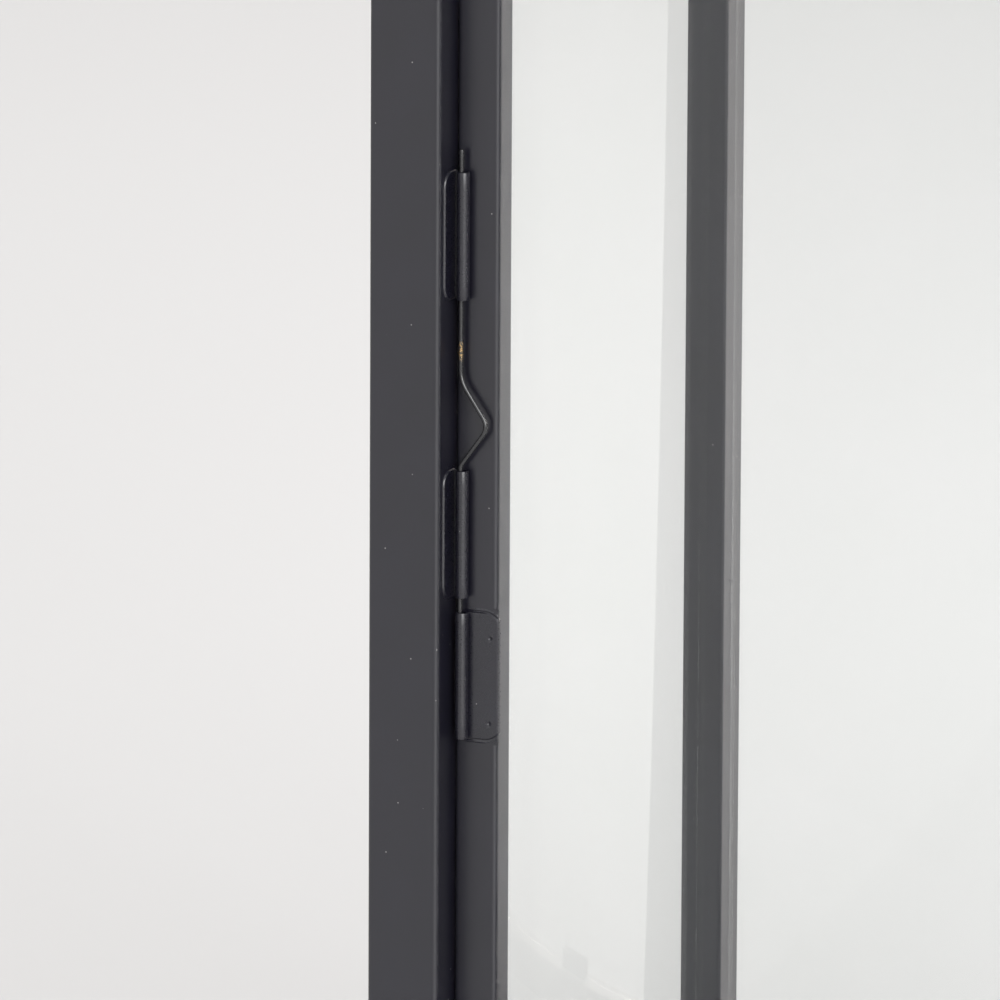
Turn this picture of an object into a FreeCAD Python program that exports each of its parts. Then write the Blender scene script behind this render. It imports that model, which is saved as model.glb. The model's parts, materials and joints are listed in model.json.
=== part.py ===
import FreeCAD, Part
import Sketcher
import math
import os
import re

# A square floor lantern with a glazed door. +Z is up, the door faces -Y, the door's hinges are at -X,
# and the origin is on the floor, below the middle of the body. All sizes are in millimetres.

SIZES = {
    "plan": (264, "outer width and depth of the body"),
    "body_top": (900, "height of the posts' tops"),
    "front_post": (25, "side of a front post"),
    "front_post_wall": (1.5, "wall of a front post"),
    "front_post_corner": (1.6, "rounding of a front post's edges"),
    "back_post": (15, "side of a back post, and depth of the side and back rails"),
    "back_post_wall": (1.2, "wall of a back post"),
    "back_post_corner": (1.0, "rounding of a back post's edges"),
    "rail_height": (16, "height of every rail of the body"),
    "rail_wall": (1.2, "wall of every rail of the body"),
    "foot_height": (8, "height of a rubber foot"),
    "foot_radius": (11, "radius of a rubber foot's sole"),
    "foot_top_radius": (9, "radius of a rubber foot's top"),
    "foot_inset_side": (20, "foot's centre from the body's side"),
    "foot_inset_end": (35, "foot's centre from the body's front or back"),
    "plinth_height": (26, "height of the plinth"),
    "folded_sheet": (1.2, "thickness of plinth, roof and cap"),
    "cover_gap": (0.3, "gap round the bottom cover"),
    "boss_radius": (6, "radius of the bosses that take the foot screws"),
    "screw_shank": (2.0, "radius of a foot screw's shank"),
    "screw_head": (3.8, "radius of a foot screw's head"),
    "screw_head_height": (2.4, "height of a foot screw's head"),
    "screw_play": (0.25, "play round a screw's shank"),
    "screw_tip_gap": (1.2, "room beyond a foot screw's tip"),
    "boss_end": (1.2, "boss left solid above a foot screw's hole"),
    "foot_recess": (5, "depth of the recess for the screw's head in a foot"),
    "foot_recess_play": (1, "play round the screw's head in a foot"),
    "pane_glass": (3, "thickness of a fixed pane"),
    "pane_gap": (0.3, "gap beside a pane"),
    "clip_sheet": (0.8, "thickness of a glazing clip"),
    "clip_length": (14, "length of a glazing clip"),
    "clip_leg": (7, "height of a glazing clip's legs"),
    "clip_inset": (24, "glazing clip's near end from the pane's edge"),
    "door_reveal": (12, "door's face behind the front posts' face"),
    "door_side_gap": (0.6, "gap between the door and a front post"),
    "door_end_gap": (2.0, "gap above and below the door"),
    "stile_width": (15, "width of the door's stiles and rails"),
    "stile_depth": (10.8, "depth of the door's stiles and rails"),
    "stile_wall": (1.2, "wall of the door's stiles and rails"),
    "stile_corner": (1.6, "rounding of the stiles' edges"),
    "door_glass_thickness": (3, "thickness of the door's glass"),
    "door_glass_lap": (5, "glass behind the door's stiles and rails"),
    "door_clip_width": (12, "width of a door clip"),
    "door_clip_sheet": (1.0, "thickness of a door clip"),
    "door_clip_lap": (3.5, "door clip over the glass"),
    "door_clip_foot": (7, "door clip on the stile"),
    "door_clip_inset": (30, "door clip's middle from the door's end"),
    "door_screw_radius": (1.5, "radius of a door clip's screw"),
    "door_screw_head": (2.0, "radius of a door clip screw's head"),
    "hinge_low": (205, "bottom of the lower hinge"),
    "knuckle_length": (42, "length of a hinge knuckle"),
    "knuckle_radius": (2.1, "outer radius of a knuckle"),
    "knuckle_bore": (1.5, "bore radius of a knuckle"),
    "knuckle_gap": (4.8, "gap from the door's knuckle to the middle one"),
    "knuckle_span": (56, "gap from the middle knuckle to the top one"),
    "leaf_sheet": (0.6, "thickness of a hinge leaf"),
    "leaf_setback": (3.5, "post leaf's free edge behind the front posts' face"),
    "leaf_corner": (4.8, "rounding of a post leaf's corners"),
    "door_leaf_corner": (7.5, "rounding of a door leaf's corners, which its free edge cuts short"),
    "door_leaf_arc": (5.4, "width of that rounding up to the free edge"),
    "door_leaf_overhang": (0.6, "door leaf's free edge beyond the stile's side"),
    "axis_from_post": (4.1, "hinge axis from the front post"),
    "axis_from_door": (2.4, "hinge axis in front of the door's face"),
    "pin_radius": (0.75, "radius of the wire pin"),
    "pin_aside": (0.52, "wire pin left of the hinge axis, because it is loose in the knuckles"),
    "pin_ahead": (0.3, "wire pin in front of the hinge axis"),
    "pin_stub": (7.3, "wire pin above the top knuckle"),
    "pin_engagement": (18, "wire pin inside the door's knuckle"),
    "kink_reach": (10.0, "kink's apex from the straight wire"),
    "kink_foot": (1.5, "start of the kink above the middle knuckle"),
    "kink_lower": (13.5, "height of the kink's lower leg"),
    "kink_upper": (14.5, "height of the kink's upper leg"),
    "kink_bend": (3.0, "bend radius at the kink's foot"),
    "kink_apex": (5.0, "bend radius at the kink's apex"),
    "kink_shoulder": (12, "bend radius at the kink's upper end"),
    "knob_neck": (3.5, "radius of the knob's neck"),
    "knob_radius": (6.5, "radius of the knob's head"),
    "knob_reach": (17, "knob's face in front of the door"),
    "knob_head": (9, "length of the knob's head"),
    "knob_edge": (1.5, "rounding of the knob's head"),
    "knob_base": (1.2, "thickness of the knob's base"),
    "knob_base_radius": (5.5, "radius of the knob's base"),
    "knob_inset": (8.5, "knob's middle from the door's edge"),
    "catch_width": (38, "width of the magnet catch"),
    "catch_depth": (13, "depth of the magnet catch"),
    "catch_drop": (11.5, "magnet catch below the top rail"),
    "catch_top_gap": (2, "magnet catch below the posts' tops"),
    "magnet_width": (24, "width of the magnet"),
    "magnet_height": (6, "height of the magnet"),
    "magnet_depth": (9, "depth of the magnet"),
    "magnet_gap": (0.3, "gap between the magnet and its strike plate"),
    "strike_sheet": (1.2, "thickness of the strike plate"),
    "strike_width": (30, "width of the strike plate"),
    "strike_gap": (1, "gap between the door's glass and the strike plate"),
    "strike_inset": (1, "strike plate below the door's top"),
    "plate_sheet": (1.5, "thickness of the top plate"),
    "vent_radius": (6, "radius of the vent holes in the top plate"),
    "vent_circle": (46, "radius of the ring of vent holes"),
    "vent_count": (8, "vent holes in the top plate"),
    "eave": (15, "roof's edge beyond the body"),
    "fascia": (10, "height of the roof's upright edge"),
    "soffit": (40, "width of the roof's flat under-edge"),
    "roof_screw_gap": (1.2, "gap between a roof screw's head and a back rail's inner face"),
    "roof_screw_point": (3.6, "roof screw beyond the roof's sheet"),
    "roof_rise": (64, "height of the roof's slopes"),
    "roof_top": (36, "half the side of the roof's flat top"),
    "collar_half": (30, "half the side of the vent collar"),
    "collar_height": (22, "height of the vent collar"),
    "flue_edge": (1.2, "roof's sheet inside the vent collar"),
    "slot_width": (6, "width of a vent slot"),
    "slot_height": (12, "height of a vent slot"),
    "slot_pitch": (15, "distance between vent slots"),
    "cap_half": (45, "half the side of the cap"),
    "cap_rise": (14, "height of the cap"),
    "cap_top": (12, "half the side of the cap's flat top"),
    "cap_mouth": (25, "half the side of the cap's opening over the collar"),
    "handle_half": (66, "half the distance between the handle's legs"),
    "handle_rod": (4, "radius of the handle's rod"),
    "handle_rise": (110, "handle's grip above its pivots"),
    "handle_bend": (24, "bend radius of the handle's corners"),
    "eye_radius": (7, "radius of the handle's eyes"),
    "eye_thickness": (5, "thickness of the handle's eyes"),
    "shank_length": (15, "flattened end of the handle, from the pivot"),
    "lug_thickness": (3, "thickness of a handle lug"),
    "lug_width": (18, "width of a handle lug"),
    "pivot_above_roof": (13, "handle's pivot above the roof at the lug"),
    "lug_gap": (0.4, "gap between a lug and the handle's eye"),
    "rivet_radius": (2.5, "radius of a pivot rivet"),
    "rivet_play": (0.1, "play between a rivet and the handle's eye"),
    "rivet_head": (4.5, "radius of a rivet's head"),
    "rivet_head_height": (2, "height of a rivet's head"),
    "stem_radius": (5, "radius of the lampholder's stem"),
    "stem_bore": (3.6, "bore radius of the stem"),
    "stem_above": (9, "stem above the top plate"),
    "stem_drop": (190, "stem below the top plate"),
    "nut_radius": (8.5, "corner radius of a stem nut"),
    "nut_height": (5, "height of a stem nut"),
    "holder_radius": (19, "radius of the lampholder"),
    "holder_cap_height": (34, "height of the lampholder's cap"),
    "holder_skirt": (26, "height of the lampholder's skirt"),
    "holder_skirt_radius": (17.5, "radius of the skirt's lower edge"),
    "holder_wall": (2, "wall of the lampholder's cap"),
    "holder_crown": (4, "thickness of the cap's crown, and rounding of its edge"),
    "holder_insert": (12, "height of the ceramic insert"),
    "socket_play": (0.35, "play round the bulb's cap in the lampholder"),
    "bulb_cap_radius": (13.2, "radius of the bulb's screw cap"),
    "bulb_cap_height": (25, "height of the bulb's screw cap"),
    "bulb_gap": (1, "gap between the lampholder and the bulb's glass"),
    "contact_radius": (4, "radius of the contact at the end of the bulb's cap"),
    "contact_height": (3, "height of the cap's tapered end"),
    "bulb_radius": (30, "radius of the bulb's globe"),
    "bulb_neck": (28, "height of the bulb's neck"),
    "bulb_shoulder": (18, "neck's wide end above the globe's middle"),
    "bulb_neck_inset": (0.2, "glass neck inside the radius of the bulb's cap"),
    "bulb_glass_wall": (1.0, "wall of the bulb's glass"),
    "filament_radius": (0.9, "radius of a filament"),
    "filament_circle": (8, "radius of the ring of filaments"),
    "filament_height": (34, "height of the filaments"),
    "filament_count": (4, "filaments in the bulb"),
    "filament_plate": (1.2, "thickness of the plates that hold the filaments"),
    "mount_radius": (2.7, "radius of the filaments' mount"),
    "lead_radius": (2.5, "radius of the inner lead"),
    "lead_play": (1.5, "play round the inner lead where it goes through a sheet"),
    "lead_bend": (8, "bend radius of the inner lead in the plinth"),
    "lead_drop": (0.5, "top of that bend below the plinth's top sheet"),
    "lead_bend_roof": (11, "bend radius of the inner lead under the roof"),
    "lead_climb": (14, "inner lead above the top plate over the post"),
    "lead_rise": (14, "rise of the inner lead towards the stem"),
    "terminal_length": (30, "length of the terminal block"),
    "terminal_width": (22, "width of the terminal block"),
    "terminal_height": (14, "height of the terminal block"),
    "terminal_near": (55, "terminal block's near end from the lantern's middle"),
    "terminal_screw": (1.8, "radius of a terminal screw"),
    "terminal_play": (0.3, "play round a terminal screw"),
    "terminal_sink": (1, "terminal screw's head below the block's face"),
    "gland_along": (60, "cable gland beside the lantern's middle"),
    "gland_radius": (6, "radius of the gland's thread"),
    "gland_thread": (3, "gland's thread beyond its nut"),
    "gland_bore": (3.25, "bore radius of the gland"),
    "gland_flange": (9, "corner radius of the gland's flange and nut"),
    "gland_flange_height": (4, "height of the gland's flange and nut"),
    "gland_dome": (7.5, "radius of the gland's dome"),
    "gland_mouth": (5.5, "radius of the gland's dome at its mouth"),
    "gland_dome_height": (7.5, "height of the gland's dome"),
}

# sizes that follow from the ones above
DERIVED = {
    "half": "plan / 2",
    "plinth_top": "foot_height + plinth_height",
    "rail_top": "plinth_top + rail_height",
    "head_rail": "body_top - rail_height",
    "post_face": "front_post - half",
    "door_face": "door_reveal - half",
    "door_back": "door_face + stile_depth",
    "door_left": "post_face + door_side_gap",
    "door_right": "-door_left",
    "door_bottom": "rail_top + door_end_gap",
    "door_top": "head_rail - door_end_gap",
    "glass_back": "door_back + door_glass_thickness",
    "pane_outer": "(back_post - pane_glass) / 2",
    "pane_inner": "(back_post + pane_glass) / 2",
    "axis_x": "post_face + axis_from_post",
    "axis_y": "door_face - axis_from_door",
    "hinge_height": "3 * knuckle_length + knuckle_gap + knuckle_span",
    "hinge_high": "door_bottom + door_top - hinge_low - hinge_height",
    "roof_base": "body_top + plate_sheet",
    "eave_half": "half + eave",
    "slope_base": "roof_base + fascia",
    "slope_top": "slope_base + roof_rise",
    "slope": "roof_rise / (eave_half - roof_top)",
    "collar_top": "slope_top + collar_height",
    "eye_inner": "handle_half - eye_thickness / 2",
    "lug_outer": "eye_inner - lug_gap",
    "lug_inner": "lug_outer - lug_thickness",
    "pivot_z": "slope_base + (eave_half - lug_outer) * slope + pivot_above_roof",
    "holder_top": "body_top - stem_drop + holder_crown",
    "holder_split": "holder_top - holder_cap_height",
    "holder_bottom": "holder_split - holder_skirt",
    "bulb_neck_top": "holder_bottom - bulb_gap",
    "bulb_middle": "bulb_neck_top - bulb_neck - bulb_shoulder",
    "lead_post": "(half - back_post / 2) * sqrt(2)",
    "lead_low": "plinth_top - folded_sheet - lead_bend - lead_drop",
}

doc = FreeCAD.newDocument("lantern_floor_lamp")
sheet = doc.addObject("Spreadsheet::Sheet", "Sizes")
for row, (alias, (amount, note)) in enumerate(SIZES.items(), start=1):
    sheet.set(f"A{row}", alias)
    sheet.set(f"B{row}", str(amount))
    sheet.setAlias(f"B{row}", alias)
    sheet.set(f"C{row}", note)
doc.recompute()

# how far a cut runs past the face that it opens, and a joined form into its neighbour
OVERLAP = 1
# places closer than this are the same place
SAME = 1e-4

WORD = re.compile(r"[a-z_]+")
nodes = []


def formula(text):
    """The sheet's expression for a sum written with the names of sizes."""
    def spell(found):
        word = found.group()
        if word in DERIVED:
            return "(" + formula(DERIVED[word]) + ")"
        if word in SIZES:
            return "Sizes." + word
        return word
    return WORD.sub(spell, str(text))


def number(text):
    """The present value of a sum of sizes."""
    return float(sheet.evalExpression(formula(text)))


def bind(thing, prop, text):
    thing.setExpression(prop, formula(text))


def place(thing, x, y, z):
    bind(thing, "Placement.Base.x", x)
    bind(thing, "Placement.Base.y", y)
    bind(thing, "Placement.Base.z", z)


def node(label, thing):
    """Names a finished sub-part."""
    thing.Label = label
    nodes.append(thing)
    return thing


def block(x, y, z):
    """A box between a low and a high value on each axis."""
    thing = doc.addObject("Part::Box", "Block")
    bind(thing, "Length", f"({x[1]}) - ({x[0]})")
    bind(thing, "Width", f"({y[1]}) - ({y[0]})")
    bind(thing, "Height", f"({z[1]}) - ({z[0]})")
    place(thing, x[0], y[0], z[0])
    return thing


TURNS = {
    "x": FreeCAD.Rotation(FreeCAD.Vector(0, 1, 0), 90),
    "y": FreeCAD.Rotation(FreeCAD.Vector(1, 0, 0), -90),
    "z": FreeCAD.Rotation(),
}


def along(thing, axis, centre, low):
    """Turns a round thing onto an axis; centre gives its two other coordinates, in X, Y, Z order."""
    thing.Placement = FreeCAD.Placement(FreeCAD.Vector(), TURNS[axis])
    spot = list(centre)
    spot.insert("xyz".index(axis), low)
    place(thing, *spot)
    return thing


def rod(axis, centre, radius, low, high):
    """A cylinder along an axis from a low to a high value."""
    thing = doc.addObject("Part::Cylinder", "Rod")
    bind(thing, "Radius", radius)
    bind(thing, "Height", f"({high}) - ({low})")
    return along(thing, axis, centre, low)


def taper(axis, centre, radius_low, radius_high, low, high):
    """A cone along an axis from a low to a high value."""
    thing = doc.addObject("Part::Cone", "Taper")
    bind(thing, "Radius1", radius_low)
    bind(thing, "Radius2", radius_high)
    bind(thing, "Height", f"({high}) - ({low})")
    return along(thing, axis, centre, low)


def hexagon(axis, centre, radius, low, high):
    """A six-sided prism along an axis from a low to a high value."""
    thing = doc.addObject("Part::Prism", "Hexagon")
    thing.Polygon = 6
    bind(thing, "Circumradius", radius)
    bind(thing, "Height", f"({high}) - ({low})")
    return along(thing, axis, centre, low)


def frustum(half_low, half_high, low, high):
    """A square pyramid with its tip cut off, round the lantern's middle."""
    thing = doc.addObject("Part::Wedge", "Frustum")
    for prop in ("Xmin", "Zmin"):
        bind(thing, prop, f"-({half_low})")
    for prop in ("Xmax", "Zmax"):
        bind(thing, prop, half_low)
    for prop in ("X2min", "Z2min"):
        bind(thing, prop, f"-({half_high})")
    for prop in ("X2max", "Z2max"):
        bind(thing, prop, half_high)
    bind(thing, "Ymin", 0)
    bind(thing, "Ymax", f"({high}) - ({low})")
    thing.Placement = FreeCAD.Placement(FreeCAD.Vector(), FreeCAD.Rotation(FreeCAD.Vector(1, 0, 0), 90))
    place(thing, 0, 0, low)
    return thing


def ball(radius, z):
    thing = doc.addObject("Part::Sphere", "Ball")
    bind(thing, "Radius", radius)
    place(thing, 0, 0, z)
    return thing


def plus(*parts):
    """One solid from several."""
    thing = doc.addObject("Part::MultiFuse", "Joined")
    thing.Shapes = list(parts)
    return thing


def minus(base, *tools):
    """A solid with others cut out of it."""
    thing = doc.addObject("Part::Cut", "Hollowed")
    thing.Base = base
    thing.Tool = tools[0] if len(tools) == 1 else plus(*tools)
    return thing


def group(parts):
    """Separate solids that share a node."""
    thing = doc.addObject("Part::Compound", "Set")
    thing.Links = list(parts)
    return thing


def rounded(base, radius, wanted):
    """The base with the straight edges rounded that the test picks."""
    doc.recompute()
    thing = doc.addObject("Part::Fillet", "Rounded")
    thing.Base = base
    value = number(radius)
    thing.Edges = [
        (index, value, value)
        for index, edge in enumerate(base.Shape.Edges, start=1)
        if wanted(edge)
    ]
    return thing


def rectangle(sketch, name, inset, width, height):
    """A rectangle in a sketch, inset from the sketch's origin, with its sizes bound to the sheet."""
    first = sketch.GeometryCount
    low = number(inset)
    right = low + number(width)
    top = low + number(height)
    corners = [(low, low), (right, low), (right, top), (low, top)]
    for here, there in zip(corners, corners[1:] + corners[:1]):
        line = Part.LineSegment(FreeCAD.Vector(*here, 0), FreeCAD.Vector(*there, 0))
        sketch.addGeometry(line, False)
    for side in range(4):
        sketch.addConstraint(Sketcher.Constraint("Coincident", first + side, 2, first + (side + 1) % 4, 1))
    for side in (0, 2):
        sketch.addConstraint(Sketcher.Constraint("Horizontal", first + side))
        sketch.addConstraint(Sketcher.Constraint("Vertical", first + side + 1))
    if low == 0:
        sketch.addConstraint(Sketcher.Constraint("Coincident", first, 1, -1, 1))
    sizes = [
        ("width", "DistanceX", (first, 1, first, 2), width),
        ("height", "DistanceY", (first + 1, 1, first + 1, 2), height),
    ]
    if low > 0:
        sizes.append(("left", "DistanceX", (-1, 1, first, 1), inset))
        sizes.append(("bottom", "DistanceY", (-1, 1, first, 1), inset))
    for word, kind, points, text in sizes:
        index = sketch.addConstraint(Sketcher.Constraint(kind, *points, number(text)))
        sketch.renameConstraint(index, f"{name}_{word}")
        sketch.setExpression(f"Constraints.{name}_{word}", formula(text))


# turns that carry a tube's own X, Y and Z onto the two axes across it and the axis along it
TUBE_TURNS = {
    "x": FreeCAD.Rotation(FreeCAD.Vector(1, 1, 1), 120),
    "y": FreeCAD.Rotation(FreeCAD.Vector(1, 1, 1), 240),
    "z": FreeCAD.Rotation(),
}
TUBE_ACROSS = {"x": "yz", "y": "zx", "z": "xy"}


def tube(label, axis, x, y, z, wall, corner=None):
    """A square tube between low and high values, open at its ends, with its long edges rounded."""
    spans = [f"({high}) - ({low})" for low, high in (x, y, z)]
    first, second = (spans["xyz".index(side)] for side in TUBE_ACROSS[axis])
    body = doc.addObject("PartDesign::Body", "Tube")
    body.Placement = FreeCAD.Placement(FreeCAD.Vector(), TUBE_TURNS[axis])
    place(body, x[0], y[0], z[0])
    sketch = body.newObject("Sketcher::SketchObject", "Section")
    ground = [plane for plane in body.Origin.OriginFeatures if plane.Role == "XY_Plane"][0]
    sketch.AttachmentSupport = (ground, [""])
    sketch.MapMode = "FlatFace"
    rectangle(sketch, "outer", 0, first, second)
    rectangle(sketch, "inner", wall, f"{first} - 2 * {wall}", f"{second} - 2 * {wall}")
    pad = body.newObject("PartDesign::Pad", "Length")
    pad.Profile = sketch
    bind(pad, "Length", spans["xyz".index(axis)])
    doc.recompute()
    if corner:
        reach = (number(first), number(second))
        edges = []
        for index, edge in enumerate(pad.Shape.Edges, start=1):
            middle = edge.CenterOfMass
            at_side = min(abs(middle.x), abs(middle.x - reach[0])) < SAME
            at_end = min(abs(middle.y), abs(middle.y - reach[1])) < SAME
            if at_side and at_end:
                edges.append(f"Edge{index}")
        fillet = body.newObject("PartDesign::Fillet", "Edges")
        fillet.Base = (pad, edges)
        bind(fillet, "Radius", corner)
    sketch.Visibility = False
    return node(label, body)


def rounded_path(points, radii):
    """Straight runs through the points, joined by tangent arcs of the radii at the inner ones."""
    edges = []
    start = points[0]
    for index, radius in enumerate(radii, start=1):
        corner = points[index]
        back = (points[index - 1] - corner).normalize()
        ahead = (points[index + 1] - corner).normalize()
        opening = back.getAngle(ahead)
        reach = radius / math.tan(opening / 2)
        centre = corner + (back + ahead).normalize() * (radius / math.sin(opening / 2))
        arc_start = corner + back * reach
        arc_end = corner + ahead * reach
        arc_middle = centre + (corner - centre).normalize() * radius
        edges.append(Part.LineSegment(start, arc_start).toShape())
        edges.append(Part.Arc(arc_start, arc_middle, arc_end).toShape())
        start = arc_end
    edges.append(Part.LineSegment(start, points[-1]).toShape())
    return Part.Wire(edges)


def bent_rod(points, radii, radius):
    """A round rod along a path of runs and arcs."""
    path = rounded_path(points, radii)
    heading = (points[1] - points[0]).normalize()
    section = Part.Wire(Part.makeCircle(radius, points[0], heading))
    thing = doc.addObject("Part::Feature", "BentRod")
    thing.Shape = path.makePipeShell([section], True, False)
    return thing


def vector(x, y, z):
    return FreeCAD.Vector(number(x), number(y), number(z))


def parallel_to_x(edge):
    start, end = edge.Vertexes[0], edge.Vertexes[-1]
    return abs(start.Y - end.Y) + abs(start.Z - end.Z) < SAME


def parallel_to_y(edge):
    start, end = edge.Vertexes[0], edge.Vertexes[-1]
    return abs(start.X - end.X) + abs(start.Z - end.Z) < SAME


def make_posts_and_rails():
    """Four posts, and a frame of rails at the foot and at the head of the body."""
    upright = ("plinth_top", "body_top")
    for side, across in (("left", ("-half", "post_face")), ("right", ("-post_face", "half"))):
        tube(f"post_front_{side}", "z", across, ("-half", "post_face"), upright,
             "front_post_wall", "front_post_corner")
    inner = "half - back_post"
    for side, across in (("left", ("-half", f"-({inner})")), ("right", (inner, "half"))):
        tube(f"post_back_{side}", "z", across, (inner, "half"), upright,
             "back_post_wall", "back_post_corner")
    levels = {"bottom": ("plinth_top", "rail_top"), "top": ("head_rail", "body_top")}
    for level, span in levels.items():
        side_depth = ("post_face", inner)
        tube(f"{level}_rail_front", "x", ("post_face", "-post_face"), ("-half", "post_face"), span,
             "rail_wall")
        tube(f"{level}_rail_back", "x", (f"-({inner})", inner), (inner, "half"), span, "rail_wall")
        tube(f"{level}_rail_left", "y", ("-half", f"-({inner})"), side_depth, span, "rail_wall")
        tube(f"{level}_rail_right", "y", (inner, "half"), side_depth, span, "rail_wall")


def foot_spots():
    """The four feet's centres."""
    for sign_y in ("-", ""):
        for sign_x in ("-", ""):
            yield f"{sign_x}(half - foot_inset_side)", f"{sign_y}(half - foot_inset_end)"


def lead_hole(low, high):
    """A hole for the inner lead on the back right post's axis."""
    spot = "half - back_post / 2"
    return rod("z", (spot, spot), "lead_radius + lead_play", low, high)


def make_plinth():
    """A folded tray that is open below, its bottom cover, and the feet with their screws."""
    wall = "half - folded_sheet"
    shell = block(("-half", "half"), ("-half", "half"), ("foot_height", "plinth_top"))
    space = block((f"-({wall})", wall), (f"-({wall})", wall), ("foot_height", "plinth_top - folded_sheet"))
    cover_top = "foot_height + folded_sheet"
    bosses = [
        rod("z", (x, y), "boss_radius", cover_top, "plinth_top - folded_sheet / 2") for x, y in foot_spots()
    ]
    thread_top = "plinth_top - folded_sheet - boss_end"
    threads = [rod("z", (x, y), "screw_shank", cover_top, thread_top) for x, y in foot_spots()]
    gland_hole = rod("y", ("gland_along", "foot_height + plinth_height / 2"), "gland_radius",
                     f"{wall} - {OVERLAP}", f"half + {OVERLAP}")
    tray = plus(minus(shell, space), *bosses)
    hole = lead_hole(f"plinth_top - folded_sheet - {OVERLAP}", f"plinth_top + {OVERLAP}")
    node("plinth_tray", minus(tray, hole, gland_hole, *threads))

    edge = f"{wall} - cover_gap"
    plate = block((f"-({edge})", edge), (f"-({edge})", edge), ("foot_height", cover_top))
    holes = [rod("z", (x, y), "screw_shank + screw_play", "0", cover_top) for x, y in foot_spots()]
    node("bottom_cover", minus(plate, *holes))

    feet = []
    screws = []
    for x, y in foot_spots():
        pad = taper("z", (x, y), "foot_radius", "foot_top_radius", "0", "foot_height")
        recess = rod("z", (x, y), "screw_head + foot_recess_play", f"-{OVERLAP}", "foot_recess")
        passage = rod("z", (x, y), "screw_shank + screw_play", "0", f"foot_height + {OVERLAP}")
        feet.append(minus(pad, recess, passage))
        head = rod("z", (x, y), "screw_head", "foot_recess - screw_head_height", "foot_recess")
        shank = rod("z", (x, y), "screw_shank", "foot_recess", f"{thread_top} - screw_tip_gap")
        screws.append(plus(head, shank))
    node("rubber_feet", group(feet))
    node("foot_screws", group(screws))


def make_pane(side):
    """A fixed pane; returns the channel clips that hold its lower and upper edges."""
    start = "post_face" if side != "back" else "back_post - half"
    finish = "half - back_post"
    depth = {
        "left": ("pane_outer - half", "pane_inner - half"),
        "right": ("half - pane_inner", "half - pane_outer"),
        "back": ("half - pane_inner", "half - pane_outer"),
    }[side]

    def turned(across, lengthwise, upright):
        if side == "back":
            return block(lengthwise, across, upright)
        return block(across, lengthwise, upright)

    bottom = "rail_top + clip_sheet"
    top = "head_rail - clip_sheet - pane_gap"
    node(f"pane_{side}", turned(depth, (f"{start} + pane_gap", f"{finish} - pane_gap"), (bottom, top)))

    clips = []
    outer = (f"{depth[0]} - pane_gap - clip_sheet", f"{depth[1]} + pane_gap + clip_sheet")
    slot = (f"{depth[0]} - pane_gap", f"{depth[1]} + pane_gap")
    low_slot = (bottom, f"rail_top + clip_leg + {OVERLAP}")
    high_slot = (f"head_rail - clip_leg - {OVERLAP}", "head_rail - clip_sheet")
    for near in (f"{start} + clip_inset", f"{finish} - clip_inset - clip_length"):
        length = (near, f"{near} + clip_length")
        low = turned(outer, length, ("rail_top", "rail_top + clip_leg"))
        clips.append(minus(low, turned(slot, length, low_slot)))
        high = turned(outer, length, ("head_rail - clip_leg", "head_rail"))
        clips.append(minus(high, turned(slot, length, high_slot)))
    return clips


def make_door():
    """The door's frame, its glass with the clips behind it, the knob and the strike plate."""
    depth = ("door_face", "door_back")
    upright = ("door_bottom", "door_top")
    inner = "door_left + stile_width"
    tube("door_stile_hinge", "z", ("door_left", inner), depth, upright, "stile_wall", "stile_corner")
    tube("door_stile_latch", "z", (f"-({inner})", "door_right"), depth, upright,
         "stile_wall", "stile_corner")
    across = (inner, f"-({inner})")
    tube("door_rail_bottom", "x", across, depth, ("door_bottom", "door_bottom + stile_width"), "stile_wall")
    tube("door_rail_top", "x", across, depth, ("door_top - stile_width", "door_top"), "stile_wall")

    edge = f"{inner} - door_glass_lap"
    glass_bottom = "door_bottom + stile_width - door_glass_lap"
    glass_top = "door_top - stile_width + door_glass_lap"
    node("door_glass", block((edge, f"-({edge})"), ("door_back", "glass_back"), (glass_bottom, glass_top)))

    clips = []
    screws = []
    for level in ("door_bottom + door_clip_inset", "door_top - door_clip_inset"):
        height = (f"{level} - door_clip_width / 2", f"{level} + door_clip_width / 2")
        for sign in ("", "-"):
            low = f"{edge} - door_clip_foot"
            step = f"{edge} - pane_gap"
            high = f"{edge} + door_clip_lap"
            spans = [(low, step), (f"{step} - door_clip_sheet", step), (f"{step} - door_clip_sheet", high)]
            if sign:
                spans = [(f"-({far})", f"-({near})") for near, far in spans]
            foot = block(spans[0], ("door_back", "door_back + door_clip_sheet"), height)
            riser = block(spans[1], ("door_back", "glass_back + door_clip_sheet"), height)
            tongue = block(spans[2], ("glass_back", "glass_back + door_clip_sheet"), height)
            spot = (f"{sign}({low} + {step} - door_clip_sheet) / 2", level)
            hole = rod("y", spot, "door_screw_radius", f"door_back - {OVERLAP}",
                       f"door_back + door_clip_sheet + {OVERLAP}")
            clips.append(minus(plus(foot, riser, tongue), hole))
            screws.append(plus(
                rod("y", spot, "door_screw_radius", "door_back", "door_back + door_clip_sheet"),
                rod("y", spot, "door_screw_head", "door_back + door_clip_sheet",
                    "door_back + 2 * door_clip_sheet"),
            ))
    node("door_glass_clips", group(clips))
    node("door_clip_screws", group(screws))

    middle = ("door_right - knob_inset", "(door_bottom + door_top) / 2")
    head = rod("y", middle, "knob_radius", "door_face - knob_reach", "door_face - knob_reach + knob_head")
    head = rounded(head, "knob_edge", lambda edge: isinstance(edge.Curve, Part.Circle))
    neck = rod("y", middle, "knob_neck", "door_face - knob_reach + knob_head / 2", "door_face")
    base = rod("y", middle, "knob_base_radius", "door_face - knob_base", "door_face")
    node("door_knob", plus(head, neck, base))

    node("strike_plate", block(("-strike_width / 2", "strike_width / 2"),
                               ("door_back", "door_back + strike_sheet"),
                               (f"{glass_top} + strike_gap", "door_top - strike_inset")))


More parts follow.
